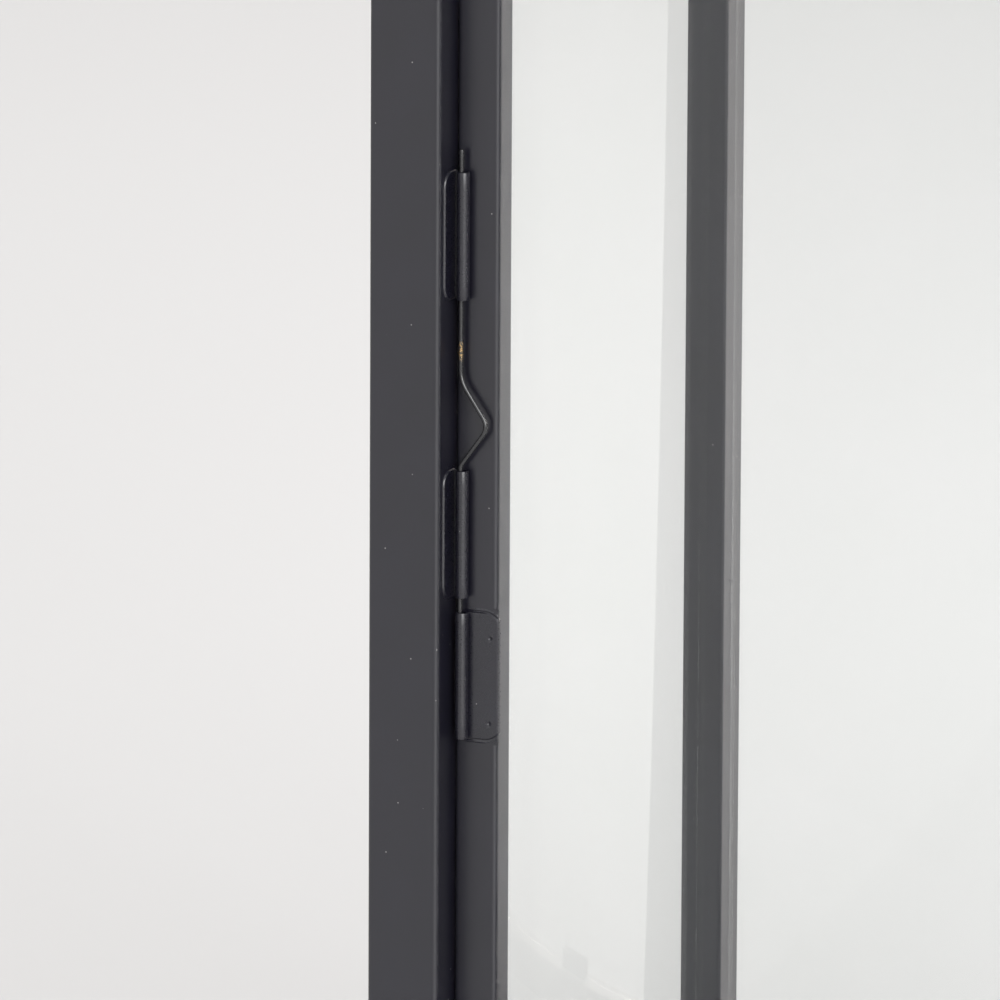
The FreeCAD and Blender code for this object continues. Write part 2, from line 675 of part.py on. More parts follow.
def make_catch():
    """The magnet catch behind the head rail, with its magnet reaching to the strike plate."""
    height = ("head_rail - catch_drop", "body_top - catch_top_gap")
    case = block(("-catch_width / 2", "catch_width / 2"), ("post_face", "post_face + catch_depth"), height)
    face = "door_back + strike_sheet + magnet_gap"
    middle = "door_top - stile_width / 2 + door_glass_lap / 2"
    level = (f"{middle} - magnet_height / 2", f"{middle} + magnet_height / 2")
    across = ("-magnet_width / 2", "magnet_width / 2")
    node("catch_case", minus(case, block(across, (face, f"{face} + magnet_depth"), level)))
    node("catch_magnet", block(across, (face, f"{face} + magnet_depth"), level))


def post_knuckle(label, bottom):
    """A rolled knuckle whose leaf lies on the front post's inner side."""
    upright = (bottom, f"{bottom} + knuckle_length")
    front = "leaf_setback - half"
    back = "axis_y + knuckle_radius"
    leaf = block(("post_face", "post_face + leaf_sheet"), (front, back), upright)
    edge_y = number(front)
    leaf = rounded(leaf, "leaf_corner",
                   lambda edge: parallel_to_x(edge) and abs(edge.CenterOfMass.y - edge_y) < SAME)
    web = block(("post_face", "axis_x"), (f"{back} - leaf_sheet", back), upright)
    barrel = rod("z", ("axis_x", "axis_y"), "knuckle_radius", *upright)
    bore = rod("z", ("axis_x", "axis_y"), "knuckle_bore", *upright)
    node(label, minus(plus(leaf, web, barrel), bore))


def door_knuckle(label, bottom):
    """A rolled knuckle whose leaf lies on the door stile's face."""
    upright = (bottom, f"{bottom} + knuckle_length")
    sheet_y = ("door_face - leaf_sheet", "door_face")
    right = "door_left + stile_width + door_leaf_overhang"
    far = f"{right} + door_leaf_corner - door_leaf_arc"
    blank = block(("axis_x", far), sheet_y, upright)
    edge_x = number(far)
    blank = rounded(blank, "door_leaf_corner",
                    lambda edge: parallel_to_y(edge) and abs(edge.CenterOfMass.x - edge_x) < SAME)
    leaf = minus(blank, block((right, f"{far} + {OVERLAP}"), sheet_y, upright))
    barrel = rod("z", ("axis_x", "axis_y"), "knuckle_radius", *upright)
    bore = rod("z", ("axis_x", "axis_y"), "knuckle_bore", *upright)
    node(label, minus(plus(leaf, barrel), bore))


def wire_pin(label, bottom):
    """A wire pin with a kink for the finger. It lies a little beside the axis, towards the front left."""
    x = "axis_x - pin_aside"
    y = "axis_y - pin_ahead"
    kink_foot = f"{bottom} + 2 * knuckle_length + knuckle_gap + kink_foot"
    points = [
        vector(x, y, f"{bottom} + knuckle_length - pin_engagement"),
        vector(x, y, kink_foot),
        vector(f"{x} + kink_reach", y, f"{kink_foot} + kink_lower"),
        vector(x, y, f"{kink_foot} + kink_lower + kink_upper"),
        vector(x, y, f"{bottom} + hinge_height + pin_stub"),
    ]
    radii = [number("kink_bend"), number("kink_apex"), number("kink_shoulder")]
    node(label, bent_rod(points, radii, number("pin_radius")))


def make_hinges():
    """Two hinges: each has two knuckles on the post, one on the door and a wire pin."""
    for level, bottom in (("lower", "hinge_low"), ("upper", "hinge_high")):
        middle = f"{bottom} + knuckle_length + knuckle_gap"
        door_knuckle(f"hinge_{level}_door_knuckle", bottom)
        post_knuckle(f"hinge_{level}_middle_knuckle", middle)
        post_knuckle(f"hinge_{level}_top_knuckle", f"{middle} + knuckle_length + knuckle_span")
        wire_pin(f"hinge_{level}_pin", bottom)


def roof_screw_spots():
    """The middles of the four screws that hold the roof on the top plate."""
    out = "half - back_post - screw_head - roof_screw_gap"
    for x in (f"-({out})", out):
        for y in ("-half / 2", "half / 2"):
            yield x, y


def make_top():
    """The top plate, the hipped roof, its vent collar and cap, and the screws that hold the roof."""
    plate = block(("-half", "half"), ("-half", "half"), ("body_top", "roof_base"))
    through = (f"body_top - {OVERLAP}", f"roof_base + {OVERLAP}")
    vents = []
    count = int(number("vent_count"))
    for index in range(count):
        angle = 2 * math.pi * index / count
        spot = (f"vent_circle * {math.cos(angle):.6f}", f"vent_circle * {math.sin(angle):.6f}")
        vents.append(rod("z", spot, "vent_radius", *through))
    stem_hole = rod("z", ("0", "0"), "stem_radius", *through)
    screw_holes = [rod("z", spot, "screw_shank", *through) for spot in roof_screw_spots()]
    node("top_plate", minus(plate, stem_hole, lead_hole(*through), *vents, *screw_holes))

    thick = "folded_sheet"
    skin = f"{thick} * sqrt(1 + slope * slope)"
    eave = block(("-eave_half", "eave_half"), ("-eave_half", "eave_half"), ("roof_base", "slope_base"))
    outer = plus(eave, frustum("eave_half", "roof_top", "slope_base", "slope_top"))
    inset = f"eave_half - {thick}"
    room_top = "slope_top - folded_sheet"
    inner_eave = block((f"-({inset})", inset), (f"-({inset})", inset),
                       (f"roof_base + {thick}", f"slope_base - ({skin}) + {thick} * slope"))
    top_half = f"eave_half - (({room_top}) - slope_base + ({skin})) / slope"
    inner_slope = frustum(inset, top_half, f"slope_base - ({skin}) + {thick} * slope", room_top)
    mouth_half = "eave_half - soffit"
    through = (f"roof_base - {OVERLAP}", f"roof_base + {thick} + {OVERLAP}")
    mouth = block((f"-({mouth_half})", mouth_half), (f"-({mouth_half})", mouth_half), through)
    flue_half = "collar_half - folded_sheet - flue_edge"
    flue = block((f"-({flue_half})", flue_half), (f"-({flue_half})", flue_half),
                 (f"{room_top} - {OVERLAP}", f"slope_top + {OVERLAP}"))
    holes = [rod("z", spot, "screw_shank", *through) for spot in roof_screw_spots()]
    node("roof_shell", minus(outer, plus(inner_eave, inner_slope), mouth, flue, lead_hole(*through), *holes))

    screws = []
    for spot in roof_screw_spots():
        head = rod("z", spot, "screw_head", "body_top - screw_head_height", "body_top")
        shank = rod("z", spot, "screw_shank", "body_top", f"roof_base + {thick} + roof_screw_point")
        screws.append(plus(head, shank))
    node("roof_screws", group(screws))

    wall = "collar_half - folded_sheet"
    through = (f"slope_top - {OVERLAP}", f"collar_top + {OVERLAP}")
    collar = minus(
        block(("-collar_half", "collar_half"), ("-collar_half", "collar_half"), ("slope_top", "collar_top")),
        block((f"-({wall})", wall), (f"-({wall})", wall), through),
    )
    slots = []
    level = ("slope_top + (collar_height - slot_height) / 2",
             "slope_top + (collar_height + slot_height) / 2")
    for step in (-1, 0, 1):
        across = (f"{step} * slot_pitch - slot_width / 2", f"{step} * slot_pitch + slot_width / 2")
        past = (f"-collar_half - {OVERLAP}", f"collar_half + {OVERLAP}")
        slots.append(block(across, past, level))
        slots.append(block(past, across, level))
    node("vent_collar", minus(collar, *slots))

    cap_slope = "cap_rise / (cap_half - cap_top)"
    cap_skin = f"folded_sheet * sqrt(1 + ({cap_slope}) * ({cap_slope}))"
    cap_outer = frustum("cap_half", "cap_top", "collar_top", "collar_top + cap_rise")
    floor = "collar_top + folded_sheet"
    ceiling = "collar_top + cap_rise - folded_sheet"
    floor_half = f"cap_half - (folded_sheet + ({cap_skin})) / ({cap_slope})"
    ceiling_half = f"cap_half - (cap_rise - folded_sheet + ({cap_skin})) / ({cap_slope})"
    hollow = frustum(floor_half, ceiling_half, floor, ceiling)
    mouth = block(("-cap_mouth", "cap_mouth"), ("-cap_mouth", "cap_mouth"),
                  (f"collar_top - {OVERLAP}", f"{floor} + {OVERLAP}"))
    node("roof_cap", minus(cap_outer, hollow, mouth))


def make_handle():
    """The carry handle with its eyes, the two lugs on the roof and the rivets it turns on."""
    outer = plus(
        block(("-eave_half", "eave_half"), ("-eave_half", "eave_half"), ("roof_base", "slope_base")),
        frustum("eave_half", "roof_top", "slope_base", "slope_top"),
    )
    rivets = []
    for side, sign in (("left", "-"), ("right", "")):
        def span(low, high):
            return (f"-({high})", f"-({low})") if sign else (low, high)
        plate = block(span("lug_inner", "lug_outer"), ("-lug_width / 2", "lug_width / 2"),
                      ("slope_base", "pivot_z"))
        crown = rod("x", ("0", "pivot_z"), "lug_width / 2", *span("lug_inner", "lug_outer"))
        through = span(f"lug_inner - {OVERLAP}", f"lug_outer + {OVERLAP}")
        hole = rod("x", ("0", "pivot_z"), "rivet_radius", *through)
        node(f"handle_lug_{side}", minus(plus(plate, crown), outer, hole))

        reach = "handle_half + eye_thickness / 2 + lug_gap"
        shank = rod("x", ("0", "pivot_z"), "rivet_radius", *span("lug_inner", reach))
        outside = rod("x", ("0", "pivot_z"), "rivet_head", *span(reach, f"{reach} + rivet_head_height"))
        inside = rod("x", ("0", "pivot_z"), "rivet_head",
                     *span("lug_inner - rivet_head_height", "lug_inner"))
        rivets.append(plus(shank, outside, inside))
    node("handle_rivets", group(rivets))

    start = f"pivot_z + shank_length - {OVERLAP}"
    grip = "pivot_z + handle_rise"
    points = [
        vector("-handle_half", 0, start),
        vector("-handle_half", 0, grip),
        vector("handle_half", 0, grip),
        vector("handle_half", 0, start),
    ]
    bow = bent_rod(points, [number("handle_bend")] * 2, number("handle_rod"))
    eyes = []
    holes = []
    for sign in ("-", ""):
        span = ("-handle_half - eye_thickness / 2", "-handle_half + eye_thickness / 2")
        if not sign:
            span = ("handle_half - eye_thickness / 2", "handle_half + eye_thickness / 2")
        eyes.append(rod("x", ("0", "pivot_z"), "eye_radius", *span))
        eyes.append(block(span, ("-handle_rod", "handle_rod"), ("pivot_z", "pivot_z + shank_length")))
        holes.append(rod("x", ("0", "pivot_z"), "rivet_radius + rivet_play",
                         f"{span[0]} - {OVERLAP}", f"{span[1]} + {OVERLAP}"))
    node("carry_handle", minus(plus(bow, *eyes), *holes))


def make_light():
    """The stem with its nuts, the lampholder and the bulb, all on the lantern's middle line."""
    middle = ("0", "0")
    stem_low = "body_top - stem_drop"
    node("stem", minus(
        rod("z", middle, "stem_radius", stem_low, "roof_base + stem_above"),
        rod("z", middle, "stem_bore", f"{stem_low} - {OVERLAP}", f"roof_base + stem_above + {OVERLAP}"),
    ))
    nuts = []
    for low in ("roof_base", "body_top - nut_height", "holder_top"):
        high = f"{low} + nut_height"
        nut = hexagon("z", middle, "nut_radius", low, high)
        nuts.append(minus(nut, rod("z", middle, "stem_radius", low, high)))
    node("stem_nuts", group(nuts))

    room = "holder_radius - holder_wall"
    cap = rod("z", middle, "holder_radius", "holder_split", "holder_top")
    rim = number("holder_top")
    cap = rounded(cap, "holder_crown",
                  lambda edge: isinstance(edge.Curve, Part.Circle) and abs(edge.CenterOfMass.z - rim) < SAME)
    node("holder_cap", minus(
        cap,
        rod("z", middle, room, f"holder_split - {OVERLAP}", "holder_top - holder_crown"),
        rod("z", middle, "stem_radius", f"holder_top - holder_crown - {OVERLAP}", f"holder_top + {OVERLAP}"),
    ))
    node("holder_insert", minus(
        rod("z", middle, room, "holder_split", "holder_split + holder_insert"),
        rod("z", middle, "lead_radius + lead_play", "holder_split + holder_insert / 2", "holder_top"),
    ))
    node("holder_skirt", minus(
        taper("z", middle, "holder_skirt_radius", "holder_radius", "holder_bottom", "holder_split"),
        rod("z", middle, "bulb_cap_radius + socket_play",
            f"holder_bottom - {OVERLAP}", f"holder_split + {OVERLAP}"),
    ))

    contact = "bulb_neck_top + bulb_cap_height"
    shell = rod("z", middle, "bulb_cap_radius", "bulb_neck_top", f"{contact} - contact_height")
    tip = taper("z", middle, "bulb_cap_radius", "contact_radius", f"{contact} - contact_height", contact)
    node("bulb_cap", plus(shell, tip))

    shoulder = "bulb_middle + bulb_shoulder"
    wide = "sqrt(bulb_radius * bulb_radius - bulb_shoulder * bulb_shoulder)"
    narrow = "bulb_cap_radius - bulb_neck_inset"
    outer = plus(
        ball("bulb_radius", "bulb_middle"),
        taper("z", middle, wide, narrow, shoulder, "bulb_neck_top"),
    )
    wall = "bulb_glass_wall"
    inner = plus(
        ball(f"bulb_radius - {wall}", "bulb_middle"),
        taper("z", middle, f"{wide} - {wall}", f"{narrow} - {wall}", shoulder, f"bulb_neck_top - {wall}"),
    )
    node("bulb_glass", minus(outer, inner))

    low = "bulb_middle - filament_height / 2"
    high = "bulb_middle + filament_height / 2"
    mount = rod("z", middle, "mount_radius", low, f"bulb_neck_top - {wall}")
    plates = [
        rod("z", middle, "filament_circle + 2 * filament_radius",
            f"{level} - filament_plate / 2", f"{level} + filament_plate / 2")
        for level in (low, high)
    ]
    lights = []
    count = int(number("filament_count"))
    for index in range(count):
        angle = 2 * math.pi * (index + 0.5) / count
        spot = (f"filament_circle * {math.cos(angle):.6f}", f"filament_circle * {math.sin(angle):.6f}")
        lights.append(rod("z", spot, "filament_radius", low, high))
    node("bulb_filaments", plus(mount, *plates, *lights))


def make_wiring():
    """The terminal block in the plinth, the inner lead to the lampholder and the gland for a cord."""
    under = "plinth_top - folded_sheet"
    case = block(("terminal_near", "terminal_near + terminal_length"),
                 ("-terminal_width / 2", "terminal_width / 2"), (f"{under} - terminal_height", under))
    screws = []
    wells = []
    for step in (-1, 0, 1):
        spot = (f"terminal_near + terminal_length / 2 + {step} * terminal_length / 3", "-terminal_width / 4")
        wells.append(rod("z", spot, "terminal_screw + terminal_play",
                         f"{under} - terminal_height - {OVERLAP}", f"{under} - terminal_height / 2"))
        screws.append(rod("z", spot, "terminal_screw", f"{under} - terminal_height + terminal_sink",
                          f"{under} - terminal_height / 2"))
    diagonal = FreeCAD.Placement(FreeCAD.Vector(), FreeCAD.Rotation(FreeCAD.Vector(0, 0, 1), 45))
    terminals = group([minus(case, *wells)] + screws)
    terminals.Placement = diagonal
    node("terminal_block", terminals)

    def on_diagonal(out, height):
        side = number(out) / math.sqrt(2)
        return FreeCAD.Vector(side, side, number(height))

    over = "roof_base + lead_climb"
    end = "holder_split + holder_insert / 2"
    points = [
        on_diagonal("terminal_near + terminal_length", "lead_low"),
        on_diagonal("lead_post", "lead_low"),
        on_diagonal("lead_post", over),
        on_diagonal("0", f"{over} + lead_rise"),
        on_diagonal("0", end),
    ]
    radii = [number("lead_bend"), number("lead_bend_roof"), number("lead_bend_roof")]
    node("inner_lead", bent_rod(points, radii, number("lead_radius")))

    centre = ("gland_along", "foot_height + plinth_height / 2")
    inside = "half - folded_sheet"
    thread_end = f"{inside} - gland_flange_height - gland_thread"
    thread = rod("y", centre, "gland_radius", thread_end, "half")
    top = "half + gland_flange_height"
    flange = hexagon("y", centre, "gland_flange", "half", top)
    dome = taper("y", centre, "gland_dome", "gland_mouth", top, f"{top} + gland_dome_height")
    bore = rod("y", centre, "gland_bore",
               f"{thread_end} - {OVERLAP}", f"{top} + gland_dome_height + {OVERLAP}")
    node("cable_gland", minus(plus(thread, flange, dome), bore))
    nut_span = (f"{inside} - gland_flange_height", inside)
    node("gland_nut", minus(hexagon("y", centre, "gland_flange", *nut_span),
                            rod("y", centre, "gland_radius", *nut_span)))


make_plinth()
make_posts_and_rails()
pane_clips = []
for pane_side in ("left", "right", "back"):
    pane_clips += make_pane(pane_side)
node("pane_clips", group(pane_clips))
make_door()
make_catch()
make_hinges()
make_top()
make_handle()
make_light()
make_wiring()
doc.recompute()

for thing in doc.Objects:
    if "Invalid" in thing.State or "Error" in thing.State:
        raise RuntimeError(f"{thing.Label} did not compute: {thing.State}")

os.makedirs("parts", exist_ok=True)
for thing in nodes:
    shape = thing.Shape
    if shape.isNull() or not shape.isValid() or not shape.Solids:
        raise RuntimeError(f"{thing.Label} has no valid solid")
    shape.exportStep(os.path.join("parts", thing.Label + ".step"))
    print(f"{thing.Label:32s} solids {len(shape.Solids)}  volume {shape.Volume / 1000:9.2f} cm3")
print(len(nodes), "nodes")
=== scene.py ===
import json
import math

import bmesh
import bpy
from mathutils import Matrix, Quaternion, Vector, noise

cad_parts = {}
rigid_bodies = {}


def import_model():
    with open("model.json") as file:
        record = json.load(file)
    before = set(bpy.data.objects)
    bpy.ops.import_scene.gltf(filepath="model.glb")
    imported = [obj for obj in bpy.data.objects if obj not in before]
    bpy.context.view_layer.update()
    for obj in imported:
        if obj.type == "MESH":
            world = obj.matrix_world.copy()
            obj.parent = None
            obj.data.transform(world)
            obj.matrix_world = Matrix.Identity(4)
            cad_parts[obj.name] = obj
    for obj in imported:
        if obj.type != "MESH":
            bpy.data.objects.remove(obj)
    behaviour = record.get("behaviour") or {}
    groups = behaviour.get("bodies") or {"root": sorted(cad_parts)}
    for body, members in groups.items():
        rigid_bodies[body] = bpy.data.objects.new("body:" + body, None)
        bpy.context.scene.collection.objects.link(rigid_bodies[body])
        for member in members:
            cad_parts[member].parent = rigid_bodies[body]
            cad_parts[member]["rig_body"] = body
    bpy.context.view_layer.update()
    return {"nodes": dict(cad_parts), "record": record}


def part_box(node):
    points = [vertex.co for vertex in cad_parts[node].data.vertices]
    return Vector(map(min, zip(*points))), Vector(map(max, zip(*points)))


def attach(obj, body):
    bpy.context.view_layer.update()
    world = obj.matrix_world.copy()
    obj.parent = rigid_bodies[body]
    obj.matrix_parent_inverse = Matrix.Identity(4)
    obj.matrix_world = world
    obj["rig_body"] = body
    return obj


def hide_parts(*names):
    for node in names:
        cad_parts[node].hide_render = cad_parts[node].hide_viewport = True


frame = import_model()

# The looks of a square floor lantern: a black powder-coated frame with clear panes, and a door on
# loose wire pins. +Z is up, the door faces -Y and its hinges are at -X. Everything is in metres;
# MM turns millimetres into metres.
MM = 0.001
scene = bpy.context.scene


# ---------------------------------------------------------------- materials

NOISE_LOW, NOISE_HIGH = 0.3, 0.7


class Look:
    """A material with a Principled shader, and the nodes that feed it."""

    def __init__(self, name, **sockets):
        self.material = bpy.data.materials.new(name)
        self.material.use_nodes = True
        self.tree = self.material.node_tree
        self.shader = self.tree.nodes["Principled BSDF"]
        self.place = self.add("ShaderNodeTexCoord").outputs["Object"]
        for socket, value in sockets.items():
            self.shader.inputs[socket.replace("_", " ")].default_value = value

    def add(self, kind, **settings):
        node = self.tree.nodes.new(kind)
        for name, value in settings.items():
            setattr(node, name, value)
        return node

    def join(self, source, target):
        self.tree.links.new(source, target)

    def calculate(self, operation, first, second):
        """One step of arithmetic; second may be a number or another node's output."""
        node = self.add("ShaderNodeMath", operation=operation)
        self.join(first, node.inputs[0])
        if isinstance(second, bpy.types.NodeSocket):
            self.join(second, node.inputs[1])
        else:
            node.inputs[1].default_value = second
        return node.outputs["Value"]

    def mottle(self, size_mm, detail=3.0, roughness=0.5):
        """Soft noise whose blotches are about the given size."""
        node = self.add("ShaderNodeTexNoise")
        node.inputs["Scale"].default_value = 1 / (size_mm * MM)
        node.inputs["Detail"].default_value = detail
        node.inputs["Roughness"].default_value = roughness
        self.join(self.place, node.inputs["Vector"])
        return node.outputs["Fac"]

    def specks(self, pitch_mm, radius, share):
        """Round dots, one for the given share of cells, each with a radius as a share of the cell."""
        cells = self.add("ShaderNodeTexVoronoi")
        cells.inputs["Scale"].default_value = 1 / (pitch_mm * MM)
        self.join(self.place, cells.inputs["Vector"])
        dots = self.spread(cells.outputs["Distance"], radius, radius * 0.4, 0.0, 1.0)
        parts = self.add("ShaderNodeSeparateColor")
        self.join(cells.outputs["Color"], parts.inputs["Color"])
        chosen = self.calculate("LESS_THAN", parts.outputs["Red"], share)
        return self.calculate("MULTIPLY", dots, chosen)

    def spread(self, source, low, high, to_low, to_high):
        """Carries a value from one range to another, without going past its ends."""
        node = self.add("ShaderNodeMapRange")
        self.join(source, node.inputs["Value"])
        ends = {"From Min": low, "From Max": high, "To Min": to_low, "To Max": to_high}
        for name, value in ends.items():
            node.inputs[name].default_value = value
        return node.outputs["Result"]

    def varied(self, source, low, high):
        """Noise carried to a range that it then mostly fills."""
        return self.spread(source, NOISE_LOW, NOISE_HIGH, low, high)

    def between(self, factor, first, second):
        """A colour between two others; either may be a colour or another node's output."""
        node = self.add("ShaderNodeMix", data_type="RGBA")
        self.join(factor, node.inputs["Factor"])
        for socket, value in (("A", first), ("B", second)):
            target = [found for found in node.inputs if found.name == socket and found.type == "RGBA"][0]
            if isinstance(value, bpy.types.NodeSocket):
                self.join(value, target)
            else:
                target.default_value = (*value, 1.0)
        return [found for found in node.outputs if found.type == "RGBA"][0]

    def colour(self, source):
        self.join(source, self.shader.inputs["Base Color"])

    def rough(self, source):
        self.join(source, self.shader.inputs["Roughness"])

    def bumps(self, *layers):
        """Bump from (height, depth in mm) layers, each on top of the one before."""
        normal = None
        for height, depth_mm in layers:
            node = self.add("ShaderNodeBump")
            node.inputs["Distance"].default_value = depth_mm * MM
            self.join(height, node.inputs["Height"])
            if normal:
                self.join(normal, node.inputs["Normal"])
            normal = node.outputs["Normal"]
        self.join(normal, self.shader.inputs["Normal"])


def tinted(shade, factor):
    """A shade made lighter or darker, at most white."""
    return [min(1.0, channel * factor) for channel in shade]


DUST = (0.42, 0.40, 0.40)
BRASS = (0.62, 0.42, 0.2)


def powder_coat(name, shade, rough, peel_mm=1.1, peel_depth=0.02):
    """Semi-matt black powder coat: orange peel, a fine grain, and specks of dust under the paint."""
    look = Look(name, Specular_IOR_Level=1.0)
    broad = look.varied(look.mottle(22, detail=2.0), 0.0, 1.0)
    tone = look.between(broad, tinted(shade, 0.88), tinted(shade, 1.12))
    dust = look.specks(pitch_mm=4.5, radius=0.06, share=0.22)
    look.colour(look.between(dust, tone, DUST))
    grain = look.mottle(0.45, detail=2.0)
    look.rough(look.varied(grain, rough - 0.05, rough + 0.06))
    peel = look.mottle(peel_mm, roughness=0.6)
    look.bumps((peel, peel_depth), (grain, 0.004), (dust, 0.05))
    return look.material


def worn_wire(name, shade, bands):
    """Black wire whose paint has rubbed off to brassy metal between the given heights."""
    look = Look(name, Specular_IOR_Level=1.0)
    parts = look.add("ShaderNodeSeparateXYZ")
    look.join(look.place, parts.inputs["Vector"])
    height = parts.outputs["Z"]
    fade = 1.5 * MM
    bare = None
    for low, high in bands:
        rise = look.spread(height, low, low + fade, 0.0, 1.0)
        fall = look.spread(height, high - fade, high, 1.0, 0.0)
        band = look.calculate("MULTIPLY", rise, fall)
        bare = band if bare is None else look.calculate("MAXIMUM", bare, band)
    flakes = look.spread(look.mottle(0.55), 0.47, 0.53, 0.0, 1.0)
    rubbed = look.calculate("MULTIPLY", bare, flakes)
    tone = look.between(look.mottle(6, detail=2.0), tinted(shade, 0.8), tinted(shade, 1.25))
    look.colour(look.between(rubbed, tone, BRASS))
    look.join(look.varied(rubbed, 0.0, 0.85), look.shader.inputs["Metallic"])
    look.rough(look.varied(look.mottle(0.4, detail=2.0), 0.17, 0.3))
    look.bumps((look.mottle(1.1), 0.02), (rubbed, -0.02))
    return look.material


def thin_glass(name, tint, gloss=0.02):
    """Clear glass that lets light and shade through, with a mirror that grows towards grazing sight."""
    look = Look(name)
    out = [node for node in look.tree.nodes if node.type == "OUTPUT_MATERIAL"][0]
    look.tree.nodes.remove(look.shader)
    clear = look.add("ShaderNodeBsdfTransparent")
    smear = look.mottle(60)
    tone = look.between(look.varied(smear, 0.0, 1.0), tint, tinted(tint, 1.006))
    look.join(tone, clear.inputs["Color"])
    mirror = look.add("ShaderNodeBsdfGlossy")
    look.join(look.spread(smear, 0.35, 0.75, gloss * 0.5, gloss * 1.5), mirror.inputs["Roughness"])
    edge_on = look.add("ShaderNodeLayerWeight")
    edge_on.inputs["Blend"].default_value = 0.5
    steep = look.calculate("POWER", edge_on.outputs["Facing"], 5.0)
    mix = look.add("ShaderNodeMixShader")
    look.join(look.spread(steep, 0.0, 1.0, 0.028, 0.6), mix.inputs["Fac"])
    look.join(clear.outputs["BSDF"], mix.inputs[1])
    look.join(mirror.outputs["BSDF"], mix.inputs[2])
    look.join(mix.outputs["Shader"], out.inputs["Surface"])
    return look.material


def plated(name, shade, rough, metallic=1.0):
    """Plated or ground metal: an uneven film and a faint grain."""
    look = Look(name, Metallic=metallic)
    look.colour(look.between(look.mottle(7), tinted(shade, 0.85), tinted(shade, 1.08)))
    grain = look.mottle(0.5, detail=2.0)
    look.rough(look.varied(grain, rough - 0.06, rough + 0.08))
    look.bumps((grain, 0.004))
    return look.material


def moulded(name, shade, rough, grain_mm=0.6, depth=0.006, **sockets):
    """Moulded plastic, rubber or ceramic with slightly uneven colour and a fine skin."""
    look = Look(name, **sockets)
    look.colour(look.between(look.mottle(14), tinted(shade, 0.9), tinted(shade, 1.1)))
    skin = look.mottle(grain_mm, detail=2.0)
    look.rough(look.varied(skin, rough - 0.05, rough + 0.07))
    look.bumps((skin, depth))
    return look.material


# The wire is rubbed bare a little above the kink, at these heights over the middle knuckle.
WORN_FROM = 35.7 * MM
WORN_TO = 42.7 * MM
KNUCKLE_TOPS = [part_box(f"hinge_{level}_middle_knuckle")[1].z for level in ("lower", "upper")]
WORN_BANDS = [(top + WORN_FROM, top + WORN_TO) for top in KNUCKLE_TOPS]
BLACK = (0.0062, 0.0058, 0.0128)
LOOKS = {
    "frame_paint": powder_coat("frame_paint", BLACK, 0.33),
    "hinge_paint": powder_coat("hinge_paint", (0.0064, 0.0060, 0.0128), 0.30, 1.4, 0.025),
    "clip_paint": powder_coat("clip_paint", BLACK, 0.4),
    "pin_wire": worn_wire("pin_wire", (0.016, 0.016, 0.018), WORN_BANDS),
    "zinc_steel": plated("zinc_steel", (0.62, 0.63, 0.6), 0.34),
    "clear_glass": thin_glass("clear_glass", (0.990, 0.996, 0.993)),
    "bulb_glass": thin_glass("bulb_glass", (0.985, 0.985, 0.98), 0.01),
    "rubber": moulded("rubber", (0.025, 0.025, 0.026), 0.72, 0.8, 0.02),
    "black_plastic": moulded("black_plastic", (0.03, 0.03, 0.031), 0.3),
    "white_plastic": moulded("white_plastic", (0.72, 0.7, 0.64), 0.35),
    "ceramic": moulded("ceramic", (0.78, 0.75, 0.69), 0.16, 1.4, 0.008, Coat_Weight=0.4),
    "magnet": plated("magnet", (0.1, 0.1, 0.105), 0.5, 0.4),
    "cap_metal": plated("cap_metal", (0.78, 0.77, 0.74), 0.26),
    "filament": moulded("filament", (0.85, 0.6, 0.16), 0.4, 0.5, 0.01),
    "lead_sheath": moulded("lead_sheath", (0.04, 0.04, 0.042), 0.55, 0.7, 0.01),
}
SLOT_OF = {row["node"]: row["material_slot"] for row in frame["record"]["subparts"]}
for label, thing in frame["nodes"].items():
    thing.material_slots[0].material = LOOKS[SLOT_OF[label]]


# ---------------------------------------------------------------- mesh tools

def loft(mesh, rings, close=False, cap=False):
    """Skins a row of rings with equal counts of points, closed into a loop or capped at its ends."""
    rows = [[mesh.verts.new(point) for point in ring] for ring in rings]
    count = len(rows[0])
    pairs = list(zip(rows, rows[1:]))
    if close:
        pairs.append((rows[-1], rows[0]))
    for here, there in pairs:
        for index in range(count):
            after = (index + 1) % count
            mesh.faces.new((here[index], here[after], there[after], there[index]))
    if cap:
        mesh.faces.new(list(reversed(rows[0])))
        mesh.faces.new(rows[-1])


def make(name, mesh, node, smooth=32):
    """Turns a mesh into the piece that stands for a CAD node; edges over smooth degrees stay sharp."""
    bmesh.ops.recalc_face_normals(mesh, faces=mesh.faces)
    data = bpy.data.meshes.new(name)
    mesh.to_mesh(data)
    mesh.free()
    data.materials.append(LOOKS[SLOT_OF[node]])
    data.shade_smooth()
    data.set_sharp_from_angle(angle=math.radians(smooth))
    thing = bpy.data.objects.new(name, data)
    scene.collection.objects.link(thing)
    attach(thing, frame["nodes"][node]["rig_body"])
    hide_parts(node)


def turned(profile, centre, axis="z", steps=48):
    """Rings of a turned form: profile has (radius, height) pairs along the axis, in metres."""
    rings = []
    for radius, height in profile:
        ring = []
        for step in range(steps):
            angle = 2 * math.pi * step / steps
            spot = [radius * math.cos(angle), radius * math.sin(angle)]
            spot.insert("xyz".index(axis), height)
            ring.append(Vector(centre) + Vector(spot))
        rings.append(ring)
    return rings


def arc(centre, radius, start, finish, steps):
    """Points on an arc in a plane, from a start angle to a finish angle in degrees."""
    points = []
    for step in range(steps + 1):
        angle = math.radians(start + (finish - start) * step / steps)
        points.append((centre[0] + radius * math.cos(angle), centre[1] + radius * math.sin(angle)))
    return points


